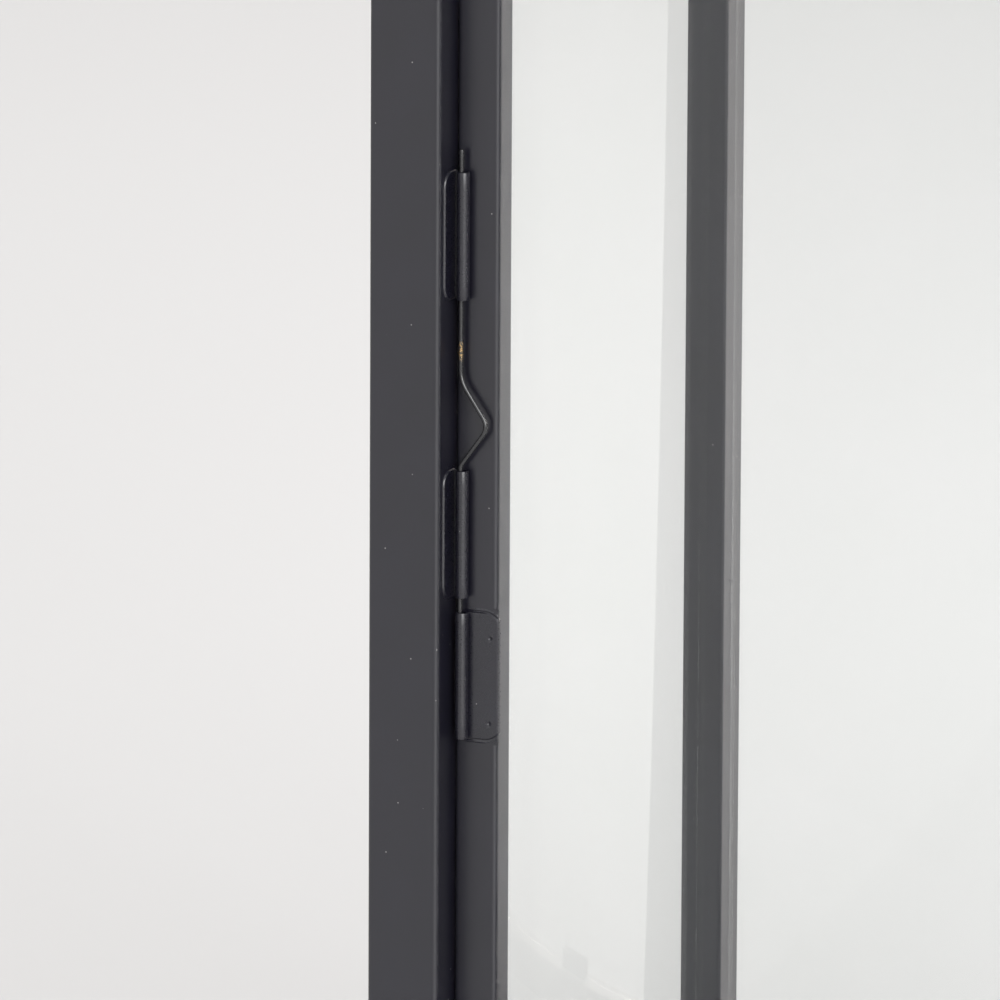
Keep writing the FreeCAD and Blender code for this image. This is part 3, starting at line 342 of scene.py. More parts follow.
def section(half_width, half_depth, corner, steps=7, shoulder=0.8 * MM):
    """A rounded rectangle's outline, with a point beside each corner so that its sides stay flat."""
    points = []
    for turn, (sign_x, sign_y) in enumerate(((1, 1), (-1, 1), (-1, -1), (1, -1))):
        centre = (sign_x * (half_width - corner), sign_y * (half_depth - corner))
        curve = arc(centre, corner, 90 * turn, 90 * turn + 90, steps)
        before = (-math.sin(math.radians(90 * turn)), math.cos(math.radians(90 * turn)))
        after = (-math.sin(math.radians(90 * turn + 90)), math.cos(math.radians(90 * turn + 90)))
        points.append((curve[0][0] - shoulder * before[0], curve[0][1] - shoulder * before[1]))
        points += curve
        points.append((curve[-1][0] + shoulder * after[0], curve[-1][1] + shoulder * after[1]))
    return points


def square_tube(node, axis, wall, corner):
    """A square tube with rounded edges in the place of a CAD node."""
    low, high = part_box(node)
    along = "xyz".index(axis)
    first, second = [index for index in range(3) if index != along]
    middle = (low + high) / 2
    half = (high - low) / 2
    outer = section(half[first], half[second], corner)
    inner_corner = max(corner - wall, 0.2 * MM)
    inner = section(half[first] - wall, half[second] - wall, inner_corner, shoulder=0.5 * MM)
    ease = 0.3 * MM

    def ring(outline, height, inset=0.0):
        points = []
        for across, up in outline:
            spot = [0.0, 0.0, 0.0]
            spot[first] = middle[first] + across * (1 - inset / half[first])
            spot[second] = middle[second] + up * (1 - inset / half[second])
            spot[along] = height
            points.append(Vector(spot))
        return points

    mesh = bmesh.new()
    loft(mesh, [
        ring(outer, low[along], ease), ring(outer, low[along] + ease), ring(outer, high[along] - ease),
        ring(outer, high[along], ease), ring(inner, high[along]), ring(inner, low[along]),
    ], close=True)
    make(f"{node}_tube", mesh, node)


SAME_PLACE = 0.002 * MM


def dressed(node, bevel, steps=3, smooth=32):
    """A copy of a CAD node whose flat faces are joined and whose longer edges are rounded."""
    shortest = 1.5 * MM
    mesh = bmesh.new()
    mesh.from_mesh(frame["nodes"][node].data)
    bmesh.ops.remove_doubles(mesh, verts=mesh.verts, dist=SAME_PLACE)
    bmesh.ops.dissolve_limit(mesh, angle_limit=math.radians(0.5), verts=mesh.verts, edges=mesh.edges)
    inner = [edge for edge in mesh.edges if edge.is_manifold and edge.calc_length() > shortest]
    sharp = [edge for edge in inner if edge.calc_face_angle() > math.radians(20)]
    bmesh.ops.bevel(
        mesh, geom=sharp, offset=bevel, segments=steps, profile=0.5, affect="EDGES", clamp_overlap=True,
    )
    make(f"{node}_form", mesh, node, smooth=smooth)


# ---------------------------------------------------------------- frame, door and panes

POST_CORNER = 1.6 * MM
POST_WALL = 1.5 * MM
RAIL_CORNER = 1.0 * MM
RAIL_WALL = 1.2 * MM
for side in ("left", "right"):
    square_tube(f"post_front_{side}", "z", POST_WALL, POST_CORNER)
    square_tube(f"post_back_{side}", "z", RAIL_WALL, RAIL_CORNER)
for level in ("bottom", "top"):
    for side, axis in (("front", "x"), ("back", "x"), ("left", "y"), ("right", "y")):
        square_tube(f"{level}_rail_{side}", axis, RAIL_WALL, RAIL_CORNER)
    square_tube(f"door_rail_{level}", "x", RAIL_WALL, RAIL_CORNER)
for side in ("hinge", "latch"):
    square_tube(f"door_stile_{side}", "z", RAIL_WALL, POST_CORNER)
for pane in ("pane_left", "pane_right", "pane_back", "door_glass"):
    dressed(pane, 0.4 * MM, 2)


# ---------------------------------------------------------------- hinges

AXIS_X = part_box("post_front_left")[1].x + 4.1 * MM
AXIS_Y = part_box("door_stile_hinge")[0].y - 2.4 * MM
BARREL = 2.1 * MM
BORE = 1.5 * MM
LEAF = 0.6 * MM
GRID = 0.19 * MM
BORDER = 1.6 * MM
SKIN = 0.12 * MM


def barrel(mesh, low, high, seam):
    """A rolled knuckle: a short tube with soft rims and a seam along it at the given angle."""
    ease = 0.28 * MM
    seam_depth = 0.2 * MM
    seam_width = 0.07
    lumps = 0.025 * MM
    steps = 72
    rim = BARREL - ease
    levels = [(BORE, low), (rim, low)]
    levels += [(rim + ease * math.sin(t), low + ease - ease * math.cos(t)) for t in (0.5, 1.0, 1.57)]
    levels += [(BARREL, low + (high - low) * share / 8) for share in range(1, 8)]
    levels += [(rim + ease * math.sin(t), high - ease + ease * math.cos(t)) for t in (1.57, 1.0, 0.5)]
    levels += [(rim, high), (BORE, high)]
    rings = []
    for radius, height in levels:
        ring = []
        for step in range(steps):
            angle = 2 * math.pi * step / steps
            x, y = math.cos(angle), math.sin(angle)
            reach = radius
            if radius > BORE:
                away = math.atan2(math.sin(angle - seam), math.cos(angle - seam))
                reach -= seam_depth * math.exp(-(away / seam_width) ** 2)
                reach += lumps * noise.noise(Vector((x * 2, y * 2, height / MM / 3)))
            ring.append(Vector((AXIS_X + reach * x, AXIS_Y + reach * y, height)))
        rings.append(ring)
    loft(mesh, rings, close=True)


def coated_plate(mesh, spot, size, height, depth):
    """A plate under thick paint: a fine grid raised by a height function, closed below.

    spot turns (across, up, out) into a place, size holds the grid's low and high corners, and depth
    gives how far the closed underside lies below the surface that carries the plate."""
    (left, bottom), (right, top) = size
    columns = round((right - left) / GRID)
    rows = round((top - bottom) / GRID)
    face = []
    under = []
    for row in range(rows + 1):
        up = bottom + (top - bottom) * row / rows
        line = [left + (right - left) * column / columns for column in range(columns + 1)]
        face.append([mesh.verts.new(spot(across, up, height(across, up))) for across in line])
        under.append([mesh.verts.new(spot(across, up, -depth(across, up))) for across in line])
    for layer in (face, under):
        for here, there in zip(layer, layer[1:]):
            for column in range(columns):
                mesh.faces.new((here[column], here[column + 1], there[column + 1], there[column]))
    left_edges = [[line[0] for line in layer] for layer in (face, under)]
    right_edges = [[line[-1] for line in layer] for layer in (face, under)]
    for upper, lower in (left_edges, right_edges, (face[0], under[0]), (face[-1], under[-1])):
        for index in range(len(upper) - 1):
            mesh.faces.new((upper[index], upper[index + 1], lower[index + 1], lower[index]))


def smoothstep(value, low, high):
    """Rises smoothly from 0 at low to 1 at high."""
    share = min(1.0, max(0.0, (value - low) / (high - low)))
    return share * share * (3 - 2 * share)


def rounded_distance(across, up, low, high, radius):
    """How far a point lies outside a rounded rectangle; less than nothing inside it."""
    middle = ((low[0] + high[0]) / 2, (low[1] + high[1]) / 2)
    beyond_x = abs(across - middle[0]) - (high[0] - low[0]) / 2 + radius
    beyond_y = abs(up - middle[1]) - (high[1] - low[1]) / 2 + radius
    outside = math.hypot(max(beyond_x, 0.0), max(beyond_y, 0.0))
    return outside + min(max(beyond_x, beyond_y), 0.0) - radius


def painted_step(distance, bead):
    """Height of the paint at a distance outside a leaf's edge, with a bead of run paint beside it."""
    leaf = LEAF * (1 - smoothstep(distance, -0.22 * MM, 0.1 * MM))
    run = bead * math.exp(-((distance - 0.85 * MM) / (0.3 * MM)) ** 2)
    skin = -0.03 * MM * smoothstep(distance, 1.2 * MM, 1.45 * MM)
    return leaf + run + skin


def dimple(across, up, centre, wide, pit):
    """A spot weld under the paint: a shallow dish with a small pit a little to one side."""
    away = math.hypot(across - centre[0], up - centre[1])
    rim = 0.09 * MM * math.exp(-((away - 1.2 * wide) / (0.5 * wide)) ** 2)
    dish = -0.12 * MM * math.exp(-(away / wide) ** 2)
    hole = math.hypot(across - centre[0] - 0.25 * MM, up - centre[1])
    return rim + dish - 0.4 * MM * math.exp(-(hole / pit) ** 2)


def door_knuckle(node):
    """The knuckle whose leaf lies on the door's stile, with two spot welds."""
    low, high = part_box(node)
    mesh = bmesh.new()
    barrel(mesh, low.z, high.z, math.radians(70))
    stile_low, stile_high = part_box("door_stile_hinge")
    face = stile_low.y
    side = stile_high.x
    right = high.x
    corner = 7.5 * MM
    arc_width = 5.4 * MM
    behind_barrel = 20 * MM
    neck = 0.25 * MM
    fold = 0.3 * MM
    ripple = 0.03 * MM
    turned_in = 1.5 * MM
    welds = [(AXIS_X + 9.0 * MM, low.z + 33.7 * MM), (AXIS_X + 8.7 * MM, low.z + 5.4 * MM)]
    leaf_low = (AXIS_X - behind_barrel, low.z)
    leaf_high = (right + corner - arc_width, high.z)

    def height(across, up):
        shape = rounded_distance(across, up, leaf_low, leaf_high, corner)
        value = painted_step(shape, 0.28 * MM)
        for weld in welds:
            value += dimple(across, up, weld, 1.1 * MM, 0.4 * MM)
        if shape < -0.3 * MM:
            value += neck * (1 - smoothstep(across, AXIS_X + 1.0 * MM, AXIS_X + 1.6 * MM))
        inside = smoothstep(-shape, 0.0, 1.0 * MM)
        value += ripple * inside * noise.noise(Vector((across, up, 0.0)) / (3.2 * MM))
        edge = smoothstep(across, right - 0.35 * MM, right)
        return value - fold * edge * edge

    def depth(across, up):
        shape = rounded_distance(across, up, leaf_low, leaf_high, corner)
        near_side = smoothstep(across, side - 2.2 * MM, side - 0.4 * MM)
        return SKIN + turned_in * near_side * (1 - smoothstep(shape, 0.0, 0.6 * MM))

    def spot(across, up, out):
        return Vector((across, face - out, up))

    size = ((AXIS_X + 0.2 * MM, low.z - BORDER), (right, high.z + BORDER))
    coated_plate(mesh, spot, size, height, depth)
    make(f"{node}_rolled", mesh, node, smooth=60)


def post_knuckle(node):
    """A knuckle whose leaf lies on the front post's inner side."""
    low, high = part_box(node)
    mesh = bmesh.new()
    barrel(mesh, low.z, high.z, math.radians(200))
    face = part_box("post_front_left")[1].x
    front = low.y
    back = AXIS_Y + BARREL
    corner = 4.8 * MM
    behind_barrel = 8 * MM
    ripple = 0.02 * MM

    def height(across, up):
        shape = rounded_distance(across, up, (front, low.z), (back + behind_barrel, high.z), corner)
        value = painted_step(shape, 0.06 * MM)
        return value + ripple * noise.noise(Vector((across, up, 5.0)) / (3.0 * MM))

    def depth(across, up):
        return SKIN

    def spot(across, up, out):
        return Vector((face + out, across, up))

    size = ((front - BORDER, low.z - BORDER), (back, high.z + BORDER))
    coated_plate(mesh, spot, size, height, depth)
    web = 0.3 * MM
    outline = [(face, back - 2 * web), (AXIS_X, back - 2 * web), (AXIS_X, back), (face, back)]
    loft(mesh, [[Vector((x, y, z)) for x, y in outline] for z in (low.z + web, high.z - web)], cap=True)
    make(f"{node}_rolled", mesh, node, smooth=60)


def rounded_path(points, radii, steps=10):
    """Places along straight runs that are joined by tangent arcs."""
    places = [points[0]]
    for index, radius in enumerate(radii, start=1):
        corner = points[index]
        back = (points[index - 1] - corner).normalized()
        ahead = (points[index + 1] - corner).normalized()
        opening = back.angle(ahead)
        reach = radius / math.tan(opening / 2)
        centre = corner + (back + ahead).normalized() * (radius / math.sin(opening / 2))
        start = corner + back * reach - centre
        finish = corner + ahead * reach - centre
        turn = start.rotation_difference(finish)
        for step in range(steps + 1):
            part = Quaternion().slerp(turn, step / steps)
            places.append(centre + part @ start)
    places.append(points[-1])
    return places


def evenly(places, pitch):
    """More places on the long runs, so that a swept form can vary along them."""
    fine = [places[0]]
    for here, there in zip(places, places[1:]):
        count = max(1, round((there - here).length / pitch))
        fine += [here.lerp(there, step / count) for step in range(1, count + 1)]
    return fine


def swept(mesh, places, radius, lumps):
    """A round rod along the places, a little uneven, with eased ends."""
    steps = 20
    ease = 0.3
    rings = []
    side = None
    last = len(places) - 1
    for index, place in enumerate(places):
        ahead = (places[min(index + 1, last)] - places[max(index - 1, 0)]).normalized()
        if side is None:
            side = ahead.orthogonal().normalized()
        side = (side - ahead * side.dot(ahead)).normalized()
        other = ahead.cross(side)
        swell = 1 + lumps * noise.noise(place / (2.5 * MM))
        rings.append([
            place + (side * math.cos(a) + other * math.sin(a)) * radius * swell
            for a in (2 * math.pi * step / steps for step in range(steps))
        ])

    def eased(end, outward):
        rounds = []
        for share in (0.5, 0.85):
            shrink = 1 - ease * (1 - math.sqrt(1 - share * share))
            rise = outward.normalized() * radius * ease * share
            rounds.append([places[end] + (point - places[end]) * shrink + rise for point in rings[end]])
        return rounds

    foot = eased(0, places[0] - places[1])
    head = eased(-1, places[-1] - places[-2])
    loft(mesh, list(reversed(foot)) + rings + head, cap=True)


def wire_pin(level):
    """The wire pin: straight in its knuckles, with a kink for the finger between the upper two."""
    node = f"hinge_{level}_pin"
    low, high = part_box(node)
    radius = 0.75 * MM
    x = low.x + radius
    y = low.y + radius
    kink_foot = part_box(f"hinge_{level}_middle_knuckle")[1].z + 1.5 * MM
    reach = 10.0 * MM
    lower_leg = 13.5 * MM
    upper_leg = 14.5 * MM
    ease = 0.2 * MM
    points = [
        Vector((x, y, low.z + ease)),
        Vector((x, y, kink_foot)),
        Vector((x + reach, y, kink_foot + lower_leg)),
        Vector((x, y, kink_foot + lower_leg + upper_leg)),
        Vector((x, y, high.z - ease)),
    ]
    places = evenly(rounded_path(points, [3.0 * MM, 5.0 * MM, 12.0 * MM]), 0.6 * MM)
    mesh = bmesh.new()
    swept(mesh, places, radius, lumps=0.07)
    make(f"{node}_wire", mesh, node, smooth=60)


for level in ("lower", "upper"):
    door_knuckle(f"hinge_{level}_door_knuckle")
    post_knuckle(f"hinge_{level}_middle_knuckle")
    post_knuckle(f"hinge_{level}_top_knuckle")
    wire_pin(level)


# ---------------------------------------------------------------- turned and folded pieces

def solids(node):
    """The boxes of the separate solids in a CAD node, in a fixed order."""
    mesh = bmesh.new()
    mesh.from_mesh(frame["nodes"][node].data)
    bmesh.ops.remove_doubles(mesh, verts=mesh.verts, dist=SAME_PLACE)
    left = set(mesh.verts)
    boxes = []
    while left:
        group = [left.pop()]
        for vert in group:
            for edge in vert.link_edges:
                other = edge.other_vert(vert)
                if other in left:
                    left.remove(other)
                    group.append(other)
        low = Vector([min(vert.co[axis] for vert in group) for axis in range(3)])
        high = Vector([max(vert.co[axis] for vert in group) for axis in range(3)])
        boxes.append((low, high))
    mesh.free()
    return sorted(boxes, key=lambda box: tuple(round(value, 5) for value in (*box[0], *box[1])))


def softened(corners, ease, steps=4):
    """A (radius, height) profile whose inner corners are rounded by up to the given ease."""
    points = [corners[0]]
    for before, here, after in zip(corners, corners[1:], corners[2:]):
        here, back, ahead = Vector(here), Vector(before), Vector(after)
        reach = min(ease, (back - here).length * 0.45, (ahead - here).length * 0.45)
        start = here + (back - here).normalized() * reach
        finish = here + (ahead - here).normalized() * reach
        for step in range(steps + 1):
            t = step / steps
            point = start * (1 - t) ** 2 + here * (2 * t * (1 - t)) + finish * t ** 2
            points.append((point.x, point.y))
    points.append(corners[-1])
    return points


def lathe(name, node, profile, centre=(0.0, 0.0, 0.0), axis="z", steps=64, close=True, smooth=32):
    """A turned piece. An open profile is capped at its ends."""
    mesh = bmesh.new()
    loft(mesh, turned(profile, centre, axis, steps), close=close, cap=not close)
    make(name, mesh, node, smooth=smooth)


def millimetres(*pairs):
    """A profile given in millimetres, in metres."""
    return [(radius * MM, height * MM) for radius, height in pairs]


def cross_head(mesh, centre, axis, outward, radius, height, shank, length):
    """A pan-head screw with a cross recess; its head's flat side lies at the centre."""
    along = "xyz".index(axis)
    first, second = [index for index in range(3) if index != along]
    steps = 64
    crown = 0.72

    def place(across, up, out):
        spot = [0.0, 0.0, 0.0]
        spot[first], spot[second], spot[along] = across, up, outward * out
        return Vector(centre) + Vector(spot)

    def ring(reach, out, recess=False):
        points = []
        for step in range(steps):
            angle = 2 * math.pi * step / steps
            across, up = reach * math.cos(angle), reach * math.sin(angle)
            depth = 0.0
            if recess:
                narrow, wide = sorted((abs(across), abs(up)))
                blade = 1 - smoothstep(narrow, 0.09 * radius, 0.2 * radius)
                tip = 1 - smoothstep(wide, 0.42 * radius, 0.62 * radius)
                depth = 0.55 * height * blade * tip
            points.append(place(across, up, out - depth))
        return points

    rings = [ring(shank * 0.6, -length), ring(shank, -length + 0.4 * shank)]
    rings += [ring(shank, 0.0), ring(radius * 0.96, 0.0)]
    for share in (0.0, 0.25, 0.5, 0.75, 1.0):
        bend = share * math.pi / 2
        reach = crown + (1 - crown) * math.cos(bend)
        rings.append(ring(radius * reach, height * (0.3 + 0.6 * math.sin(bend))))
    for share in (0.64, 0.58, 0.52, 0.46, 0.4, 0.34, 0.28, 0.22, 0.16, 0.1, 0.05):
        rings.append(ring(radius * share, height * (1.0 - 0.1 * (share / crown) ** 2), recess=True))
    loft(mesh, rings, cap=True)


def screws(node, axis, outward, head_radius, head_height, shank, length):
    """Cross-headed screws in the place of a node's solids."""
    along = "xyz".index(axis)
    mesh = bmesh.new()
    for low, high in solids(node):
        centre = (low + high) / 2
        centre[along] = (high[along] - head_height) if outward > 0 else (low[along] + head_height)
        cross_head(mesh, centre, axis, outward, head_radius, head_height, shank, length)
    make(f"{node}_cross_headed", mesh, node, smooth=40)


screws("foot_screws", "z", -1, 3.8 * MM, 2.4 * MM, 2.0 * MM, 25.4 * MM)
screws("roof_screws", "z", -1, 3.8 * MM, 2.4 * MM, 2.0 * MM, 6.3 * MM)
screws("door_clip_screws", "y", 1, 2.0 * MM, 1.0 * MM, 1.5 * MM, 1.0 * MM)


def rubber_foot(mesh, low, high):
    """A tapered rubber foot with a grooved sole and a recess for its screw."""
    centre = Vector(((low.x + high.x) / 2, (low.y + high.y) / 2, 0.0))
    wide = (high.x - low.x) / 2 / MM
    top = high.z / MM
    rim = [(8.9 + 0.35 * math.sin(a), top - 0.4 * (1 - math.cos(a))) for a in (0.5, 1.0, 1.5)]
    profile = millimetres(
        (3.0, top), (8.9, top), *rim,
        (9.5, 5.6), (9.3, 5.3), (9.3, 4.7), (9.7, 4.4),
        (wide - 0.25, 1.4), (wide, 0.9), (wide - 0.15, 0.3), (wide - 0.7, 0.0),
        (8.4, 0.0), (8.1, 0.5), (7.4, 0.5), (7.1, 0.0),
        (5.4, 0.0), (4.9, 0.4), (4.8, 5.0), (3.0, 5.0),
    )
    loft(mesh, turned(profile, centre, "z", 64), close=True)


def rubber_feet():
    """The four feet, as one piece."""
    mesh = bmesh.new()
    for low, high in solids("rubber_feet"):
        rubber_foot(mesh, low, high)
    make("rubber_feet_grooved", mesh, "rubber_feet", smooth=35)


def door_knob():
    """A turned knob: a rose on the stile, a waisted neck and a domed head."""
    low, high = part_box("door_knob")
    profile = softened(millimetres(
        (0.3, 0.0), (5.5, 0.0), (5.5, -1.2), (3.5, -1.6), (3.2, -5.5), (3.9, -8.0), (6.0, -8.9),
        (6.5, -11.0), (6.4, -14.5), (5.2, -16.6), (2.5, -17.0), (0.3, -17.0),
    ), 0.8 * MM)
    centre = ((low.x + high.x) / 2, high.y, (low.z + high.z) / 2)
    lathe("door_knob_turned", "door_knob", profile, centre, "y", close=False, smooth=60)


def hexagon_ring(middle, radius, corner, height, steps):
    """A hexagon's outline across the y axis, with its corners cut back to a circle."""
    points = []
    sixth = math.pi / 3
    for step in range(steps):
        angle = 2 * math.pi * step / steps
        flat = radius * math.cos(sixth / 2) / math.cos((angle + sixth / 2) % sixth - sixth / 2)
        reach = min(flat, corner)
        across = Vector((reach * math.cos(angle), height, reach * math.sin(angle)))
        points.append(middle + across)
    return points


def gland():
    """The gland: a thread through the plinth, a hexagon flange and a ribbed dome over the seal."""
    low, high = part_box("cable_gland")
    middle = Vector(((low.x + high.x) / 2, 0.0, (low.z + high.z) / 2))
    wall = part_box("plinth_tray")[1].y
    steps = 60
    bore = 3.25 * MM
    thread = low.y
    turns = int((wall - thread) / MM * 4)
    profile = [(bore, thread)]
    for step in range(turns + 1):
        crest = (5.98 if step % 2 else 5.6) * MM
        profile.append((crest, thread + (wall - thread) * step / turns))
    rings = turned(profile, middle, "y", steps)
    for shrink, height in ((0.7, 0.0), (0.97, 0.0), (1.0, 0.35), (1.0, 3.65), (0.97, 4.0)):
        flange = wall + height * MM
        rings.append(hexagon_ring(middle, 9.0 * MM * shrink, 8.75 * MM * shrink, flange, steps))
    dome = millimetres(
        (7.5, 4.0), (7.5, 8.5), (7.1, 10.1), (6.3, 11.2),
        (5.5, 11.5), (4.3, 11.5), (3.9, 11.1), (3.25, 10.2),
    )
    for radius, height in dome:
        ribbed = 4.1 * MM < height < 9.0 * MM
        ring = []
        for step in range(steps):
            angle = 2 * math.pi * step / steps
            rib = 0.22 * MM * (0.5 + 0.5 * math.cos(angle * 20)) if ribbed else 0.0
            reach = radius - rib
            around = Vector((reach * math.cos(angle), wall + height, reach * math.sin(angle)))
            ring.append(middle + around)
        rings.append(ring)
    mesh = bmesh.new()
    loft(mesh, rings, close=True)
    make("cable_gland_ribbed", mesh, "cable_gland", smooth=35)


rubber_feet()
door_knob()
gland()


# ---------------------------------------------------------------- lampholder and bulb

def stem_tube():
    """The threaded tube's plain outside, with its bore."""
    low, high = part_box("stem")
    outline = [(3.6 * MM, low.z), (5.0 * MM, low.z), (5.0 * MM, high.z), (3.6 * MM, high.z)]
    lathe("stem_tube", "stem", softened(outline, 0.3 * MM))


def holder_cap():
    """The upper part of the lampholder: five grip ribs below a rounded crown."""
    low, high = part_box("holder_cap")
    split, crown = low.z / MM, high.z / MM
    outline = [(17.0, split), (18.7, split), (19.0, split + 0.3)]
    for rib in range(5):
        level = split + 3.0 + 1.6 * rib
        outline += [(19.0, level), (18.6, level + 0.3), (18.6, level + 0.6), (19.0, level + 0.9)]
    outline += [(19.0, crown - 5.0)]
    for bend in (0.0, 0.26, 0.52, 0.79, 1.05, 1.31, 1.57):
        outline.append((15.0 + 4.0 * math.cos(bend), crown - 4.0 + 4.0 * math.sin(bend)))
    outline += [
        (9.0, crown), (8.6, crown - 0.2), (5.0, crown - 0.2),
        (5.0, crown - 4.0), (13.5, crown - 4.0), (17.0, crown - 7.0),
    ]
    lathe("holder_cap_ribbed", "holder_cap", millimetres(*outline), steps=72)


def holder_skirt():
    """The lower part of the lampholder, slightly tapered and open below."""
    low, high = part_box("holder_skirt")
    foot, head = low.z / MM, high.z / MM
    outline = millimetres(
        (17.0, head), (18.7, head), (19.0, head - 0.3), (19.0, head - 5.0),
        (18.5, head - 5.6), (17.6, foot + 1.2), (17.4, foot), (15.8, foot),
        (15.0, foot + 0.8), (15.0, head - 2.0), (17.0, head - 2.0),
    )
    lathe("holder_skirt_turned", "holder_skirt", softened(outline, 0.3 * MM, 3), steps=72)


def threaded_cap():
    """The bulb's screw cap: a rolled thread between a plain collar and the contact end."""
    low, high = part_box("bulb_cap")
    steps = 72
    rows = 72
    pitch = 3.6 * MM
    crest = 13.2 * MM
    thread_depth = 0.75 * MM
    start, finish = low.z + 3.0 * MM, high.z - 6.0 * MM
    collar = millimetres((12.6, 0.0), (13.1, 0.0), (13.2, 0.4), (13.2, 2.2))
    rings = turned([(radius, low.z + height) for radius, height in collar], (0, 0, 0), "z", steps)
    for row in range(rows + 1):
        height = start + (finish - start) * row / rows
        fade = smoothstep(row / rows, 0.0, 0.08) * (1 - smoothstep(row / rows, 0.92, 1.0))
        ring = []
        for step in range(steps):
            angle = 2 * math.pi * step / steps
            wave = 0.5 + 0.5 * math.cos(2 * math.pi * height / pitch - angle)
            radius = crest - thread_depth * fade * wave
            ring.append(Vector((radius * math.cos(angle), radius * math.sin(angle), height)))
        rings.append(ring)
    contact = millimetres(
        (12.6, 5.4), (11.0, 4.4), (8.5, 3.3), (6.0, 2.9), (4.4, 2.8), (4.2, 1.2), (3.9, 0.3), (3.0, 0.0),
    )
    rings += turned([(radius, high.z - depth) for radius, depth in contact], (0, 0, 0), "z", steps)
    mesh = bmesh.new()
    loft(mesh, rings, cap=True)
    make("bulb_cap_threaded", mesh, "bulb_cap", smooth=50)


def bulb_envelope():
    """The bulb's glass: a globe that narrows to the cap in one smooth curve."""
    low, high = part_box("bulb_glass")
    radius = 30.0 * MM
    neck = 13.0 * MM
    thickness = 0.8 * MM
    first_turn = 2
    last_turn = 116
    middle = low.z + radius
    outline = []
    for turn in range(first_turn, last_turn + 1, 6):
        angle = math.radians(turn)
        outline.append((radius * math.sin(angle), middle - radius * math.cos(angle)))
    last = Vector(outline[-1])
    slope = Vector((math.cos(math.radians(last_turn)), math.sin(math.radians(last_turn))))
    first_pull = last + slope * 16.0 * MM
    second_pull = Vector((neck, high.z - 14.0 * MM))
    end = Vector((neck, high.z))
    for step in range(1, 25):
        t = step / 24
        point = last * (1 - t) ** 3 + first_pull * (3 * t * (1 - t) ** 2)
        point += second_pull * (3 * t ** 2 * (1 - t)) + end * t ** 3
        outline.append((point.x, point.y))
    inner = []
    for index, (reach, height) in enumerate(outline):
        rise = thickness if index < 12 else 0.0
        inner.append((max(reach - thickness, 0.3 * MM), height + rise))
    mesh = bmesh.new()
    outside = turned(outline, (0, 0, 0), "z", 96)
    inside = turned(inner, (0, 0, 0), "z", 96)
    loft(mesh, outside + list(reversed(inside)))
    ends = [edge for edge in mesh.edges if edge.is_boundary]
    bmesh.ops.holes_fill(mesh, edges=ends)
    make("bulb_glass_blown", mesh, "bulb_glass", smooth=60)


stem_tube()
holder_cap()
holder_skirt()
threaded_cap()
bulb_envelope()


# ---------------------------------------------------------------- pieces that keep their form

BEVELS_MM = {
    "plinth_tray": 0.5, "bottom_cover": 0.3, "top_plate": 0.35, "roof_shell": 0.6, "roof_cap": 0.5,
    "vent_collar": 0.35, "handle_lug_left": 0.4, "handle_lug_right": 0.4, "pane_clips": 0.2,
    "door_glass_clips": 0.25, "strike_plate": 0.25, "catch_case": 0.8, "catch_magnet": 0.25,
    "terminal_block": 0.4, "stem_nuts": 0.35, "gland_nut": 0.3, "holder_insert": 0.4,
}
for node, bevel in BEVELS_MM.items():
    dressed(node, bevel * MM)
for node in ("carry_handle", "handle_rivets", "inner_lead", "bulb_filaments"):
    dressed(node, 0.25 * MM, 2, smooth=40)


# ---------------------------------------------------------------- camera, light and floor

PHOTO = 1000
CAMERA_AZIMUTH = math.radians(24.932)
CAMERA_ELEVATION = math.radians(11.933)
CAMERA_ROLL = math.radians(0.273)
CAMERA_DISTANCE = 4.4
FOCAL_PIXELS = 13623.5
SENSOR = 36.0
HINGE_HEIGHT = 0.284
HINGE = Vector((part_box("post_front_left")[1].x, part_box("door_stile_hinge")[0].y, HINGE_HEIGHT))
AIM_RIGHT = 14.902 * MM
AIM_DOWN = 0.737 * MM


def make_camera():
    """A long lens that looks a little down on the lower hinge, from the front right."""
    right = Vector((math.cos(CAMERA_AZIMUTH), math.sin(CAMERA_AZIMUTH), 0.0))
    ahead = Vector((
        -math.sin(CAMERA_AZIMUTH) * math.cos(CAMERA_ELEVATION),
        math.cos(CAMERA_AZIMUTH) * math.cos(CAMERA_ELEVATION),
        -math.sin(CAMERA_ELEVATION),
    ))
    up = right.cross(ahead)
    rolled = right * math.cos(CAMERA_ROLL) + up * math.sin(CAMERA_ROLL)
    rolled_up = up * math.cos(CAMERA_ROLL) - right * math.sin(CAMERA_ROLL)
    target = HINGE + rolled * AIM_RIGHT - rolled_up * AIM_DOWN
    data = bpy.data.cameras.new("camera")
    data.sensor_width = SENSOR
    data.lens = FOCAL_PIXELS / PHOTO * SENSOR
    data.clip_start = 0.1
    data.clip_end = 100.0
    camera = bpy.data.objects.new("camera", data)
    scene.collection.objects.link(camera)
    turn = Matrix((rolled, rolled_up, -ahead)).transposed()
    camera.matrix_world = Matrix.Translation(target - ahead * CAMERA_DISTANCE) @ turn.to_4x4()
    scene.camera = camera


FLOOR_REACH = 40.0
BASE_LIGHT = 0.27
NEUTRAL = (1.0, 1.0, 1.0)
WARM = (1.0, 0.91, 0.84)
GLOWS = (
    (0, 90, 85, 0.5, NEUTRAL),
    (155, 6, 42, 6.4, WARM),
    (44, 14, 32, 5.4, NEUTRAL),
    (-32, 16, 34, 0.7, NEUTRAL),
)
LAMPS = (
    ("back_light", (-0.5, 1.6, 2.2), 1.6, 13.5),
    ("right_light", (0.75, 1.35, 0.95), 0.8, 14.5),
)


def heading(azimuth, elevation):
    """A direction. Azimuth 0 is in front, 90 on the right, both in degrees."""
    turn, rise = math.radians(azimuth), math.radians(elevation)
    return Vector((math.sin(turn) * math.cos(rise), -math.cos(turn) * math.cos(rise), math.sin(rise)))


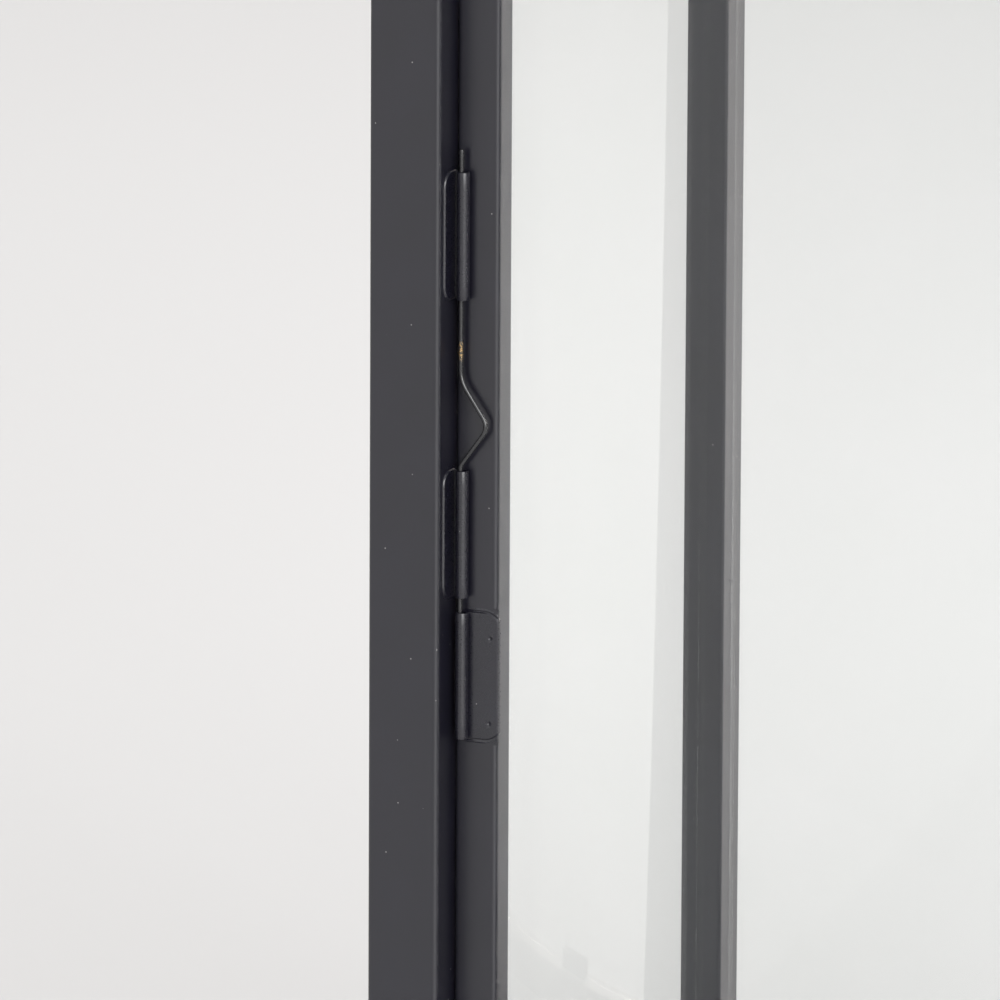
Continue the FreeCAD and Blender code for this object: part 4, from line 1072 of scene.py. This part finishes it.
def make_surround(base, glows):
    """A pale surround with soft glows: azimuth, elevation and half width in degrees, strength, colour."""
    world = bpy.data.worlds.new("surround")
    scene.world = world
    world.use_nodes = True
    tree = world.node_tree
    place = tree.nodes.new("ShaderNodeTexCoord").outputs["Generated"]
    total = None
    for azimuth, elevation, reach, strength, colour in glows:
        towards = tree.nodes.new("ShaderNodeVectorMath")
        towards.operation = "DOT_PRODUCT"
        tree.links.new(place, towards.inputs[0])
        towards.inputs[1].default_value = heading(azimuth, elevation)
        glow = tree.nodes.new("ShaderNodeMapRange")
        glow.interpolation_type = "SMOOTHERSTEP"
        tree.links.new(towards.outputs["Value"], glow.inputs["Value"])
        glow.inputs["From Min"].default_value = math.cos(math.radians(reach))
        glow.inputs["From Max"].default_value = 1.0
        glow.inputs["To Min"].default_value = 0.0
        glow.inputs["To Max"].default_value = strength
        add = tree.nodes.new("ShaderNodeVectorMath")
        add.operation = "MULTIPLY_ADD"
        tree.links.new(glow.outputs["Result"], add.inputs[0])
        add.inputs[1].default_value = colour
        if total is None:
            add.inputs[2].default_value = (base, base, base)
        else:
            tree.links.new(total, add.inputs[2])
        total = add.outputs["Vector"]
    tree.links.new(total, tree.nodes["Background"].inputs["Color"])


def make_studio():
    """A plain pale floor and a pale surround with soft glows."""
    mesh = bmesh.new()
    bmesh.ops.create_grid(mesh, x_segments=8, y_segments=8, size=FLOOR_REACH)
    data = bpy.data.meshes.new("floor")
    mesh.to_mesh(data)
    mesh.free()
    floor = bpy.data.objects.new("floor", data)
    scene.collection.objects.link(floor)
    look = Look("floor", Roughness=0.7)
    look.colour(look.between(look.mottle(900, 2.0), (0.592, 0.594, 0.598), (0.606, 0.608, 0.612)))
    data.materials.append(look.material)
    make_surround(BASE_LIGHT, GLOWS)
    for name, place, size, power in LAMPS:
        data = bpy.data.lights.new(name, "AREA")
        data.size = size
        data.energy = power
        light = bpy.data.objects.new(name, data)
        light.location = place
        light.visible_camera = False
        light.visible_glossy = False
        scene.collection.objects.link(light)
    scene.view_settings.view_transform = "Standard"


make_camera()
make_studio()
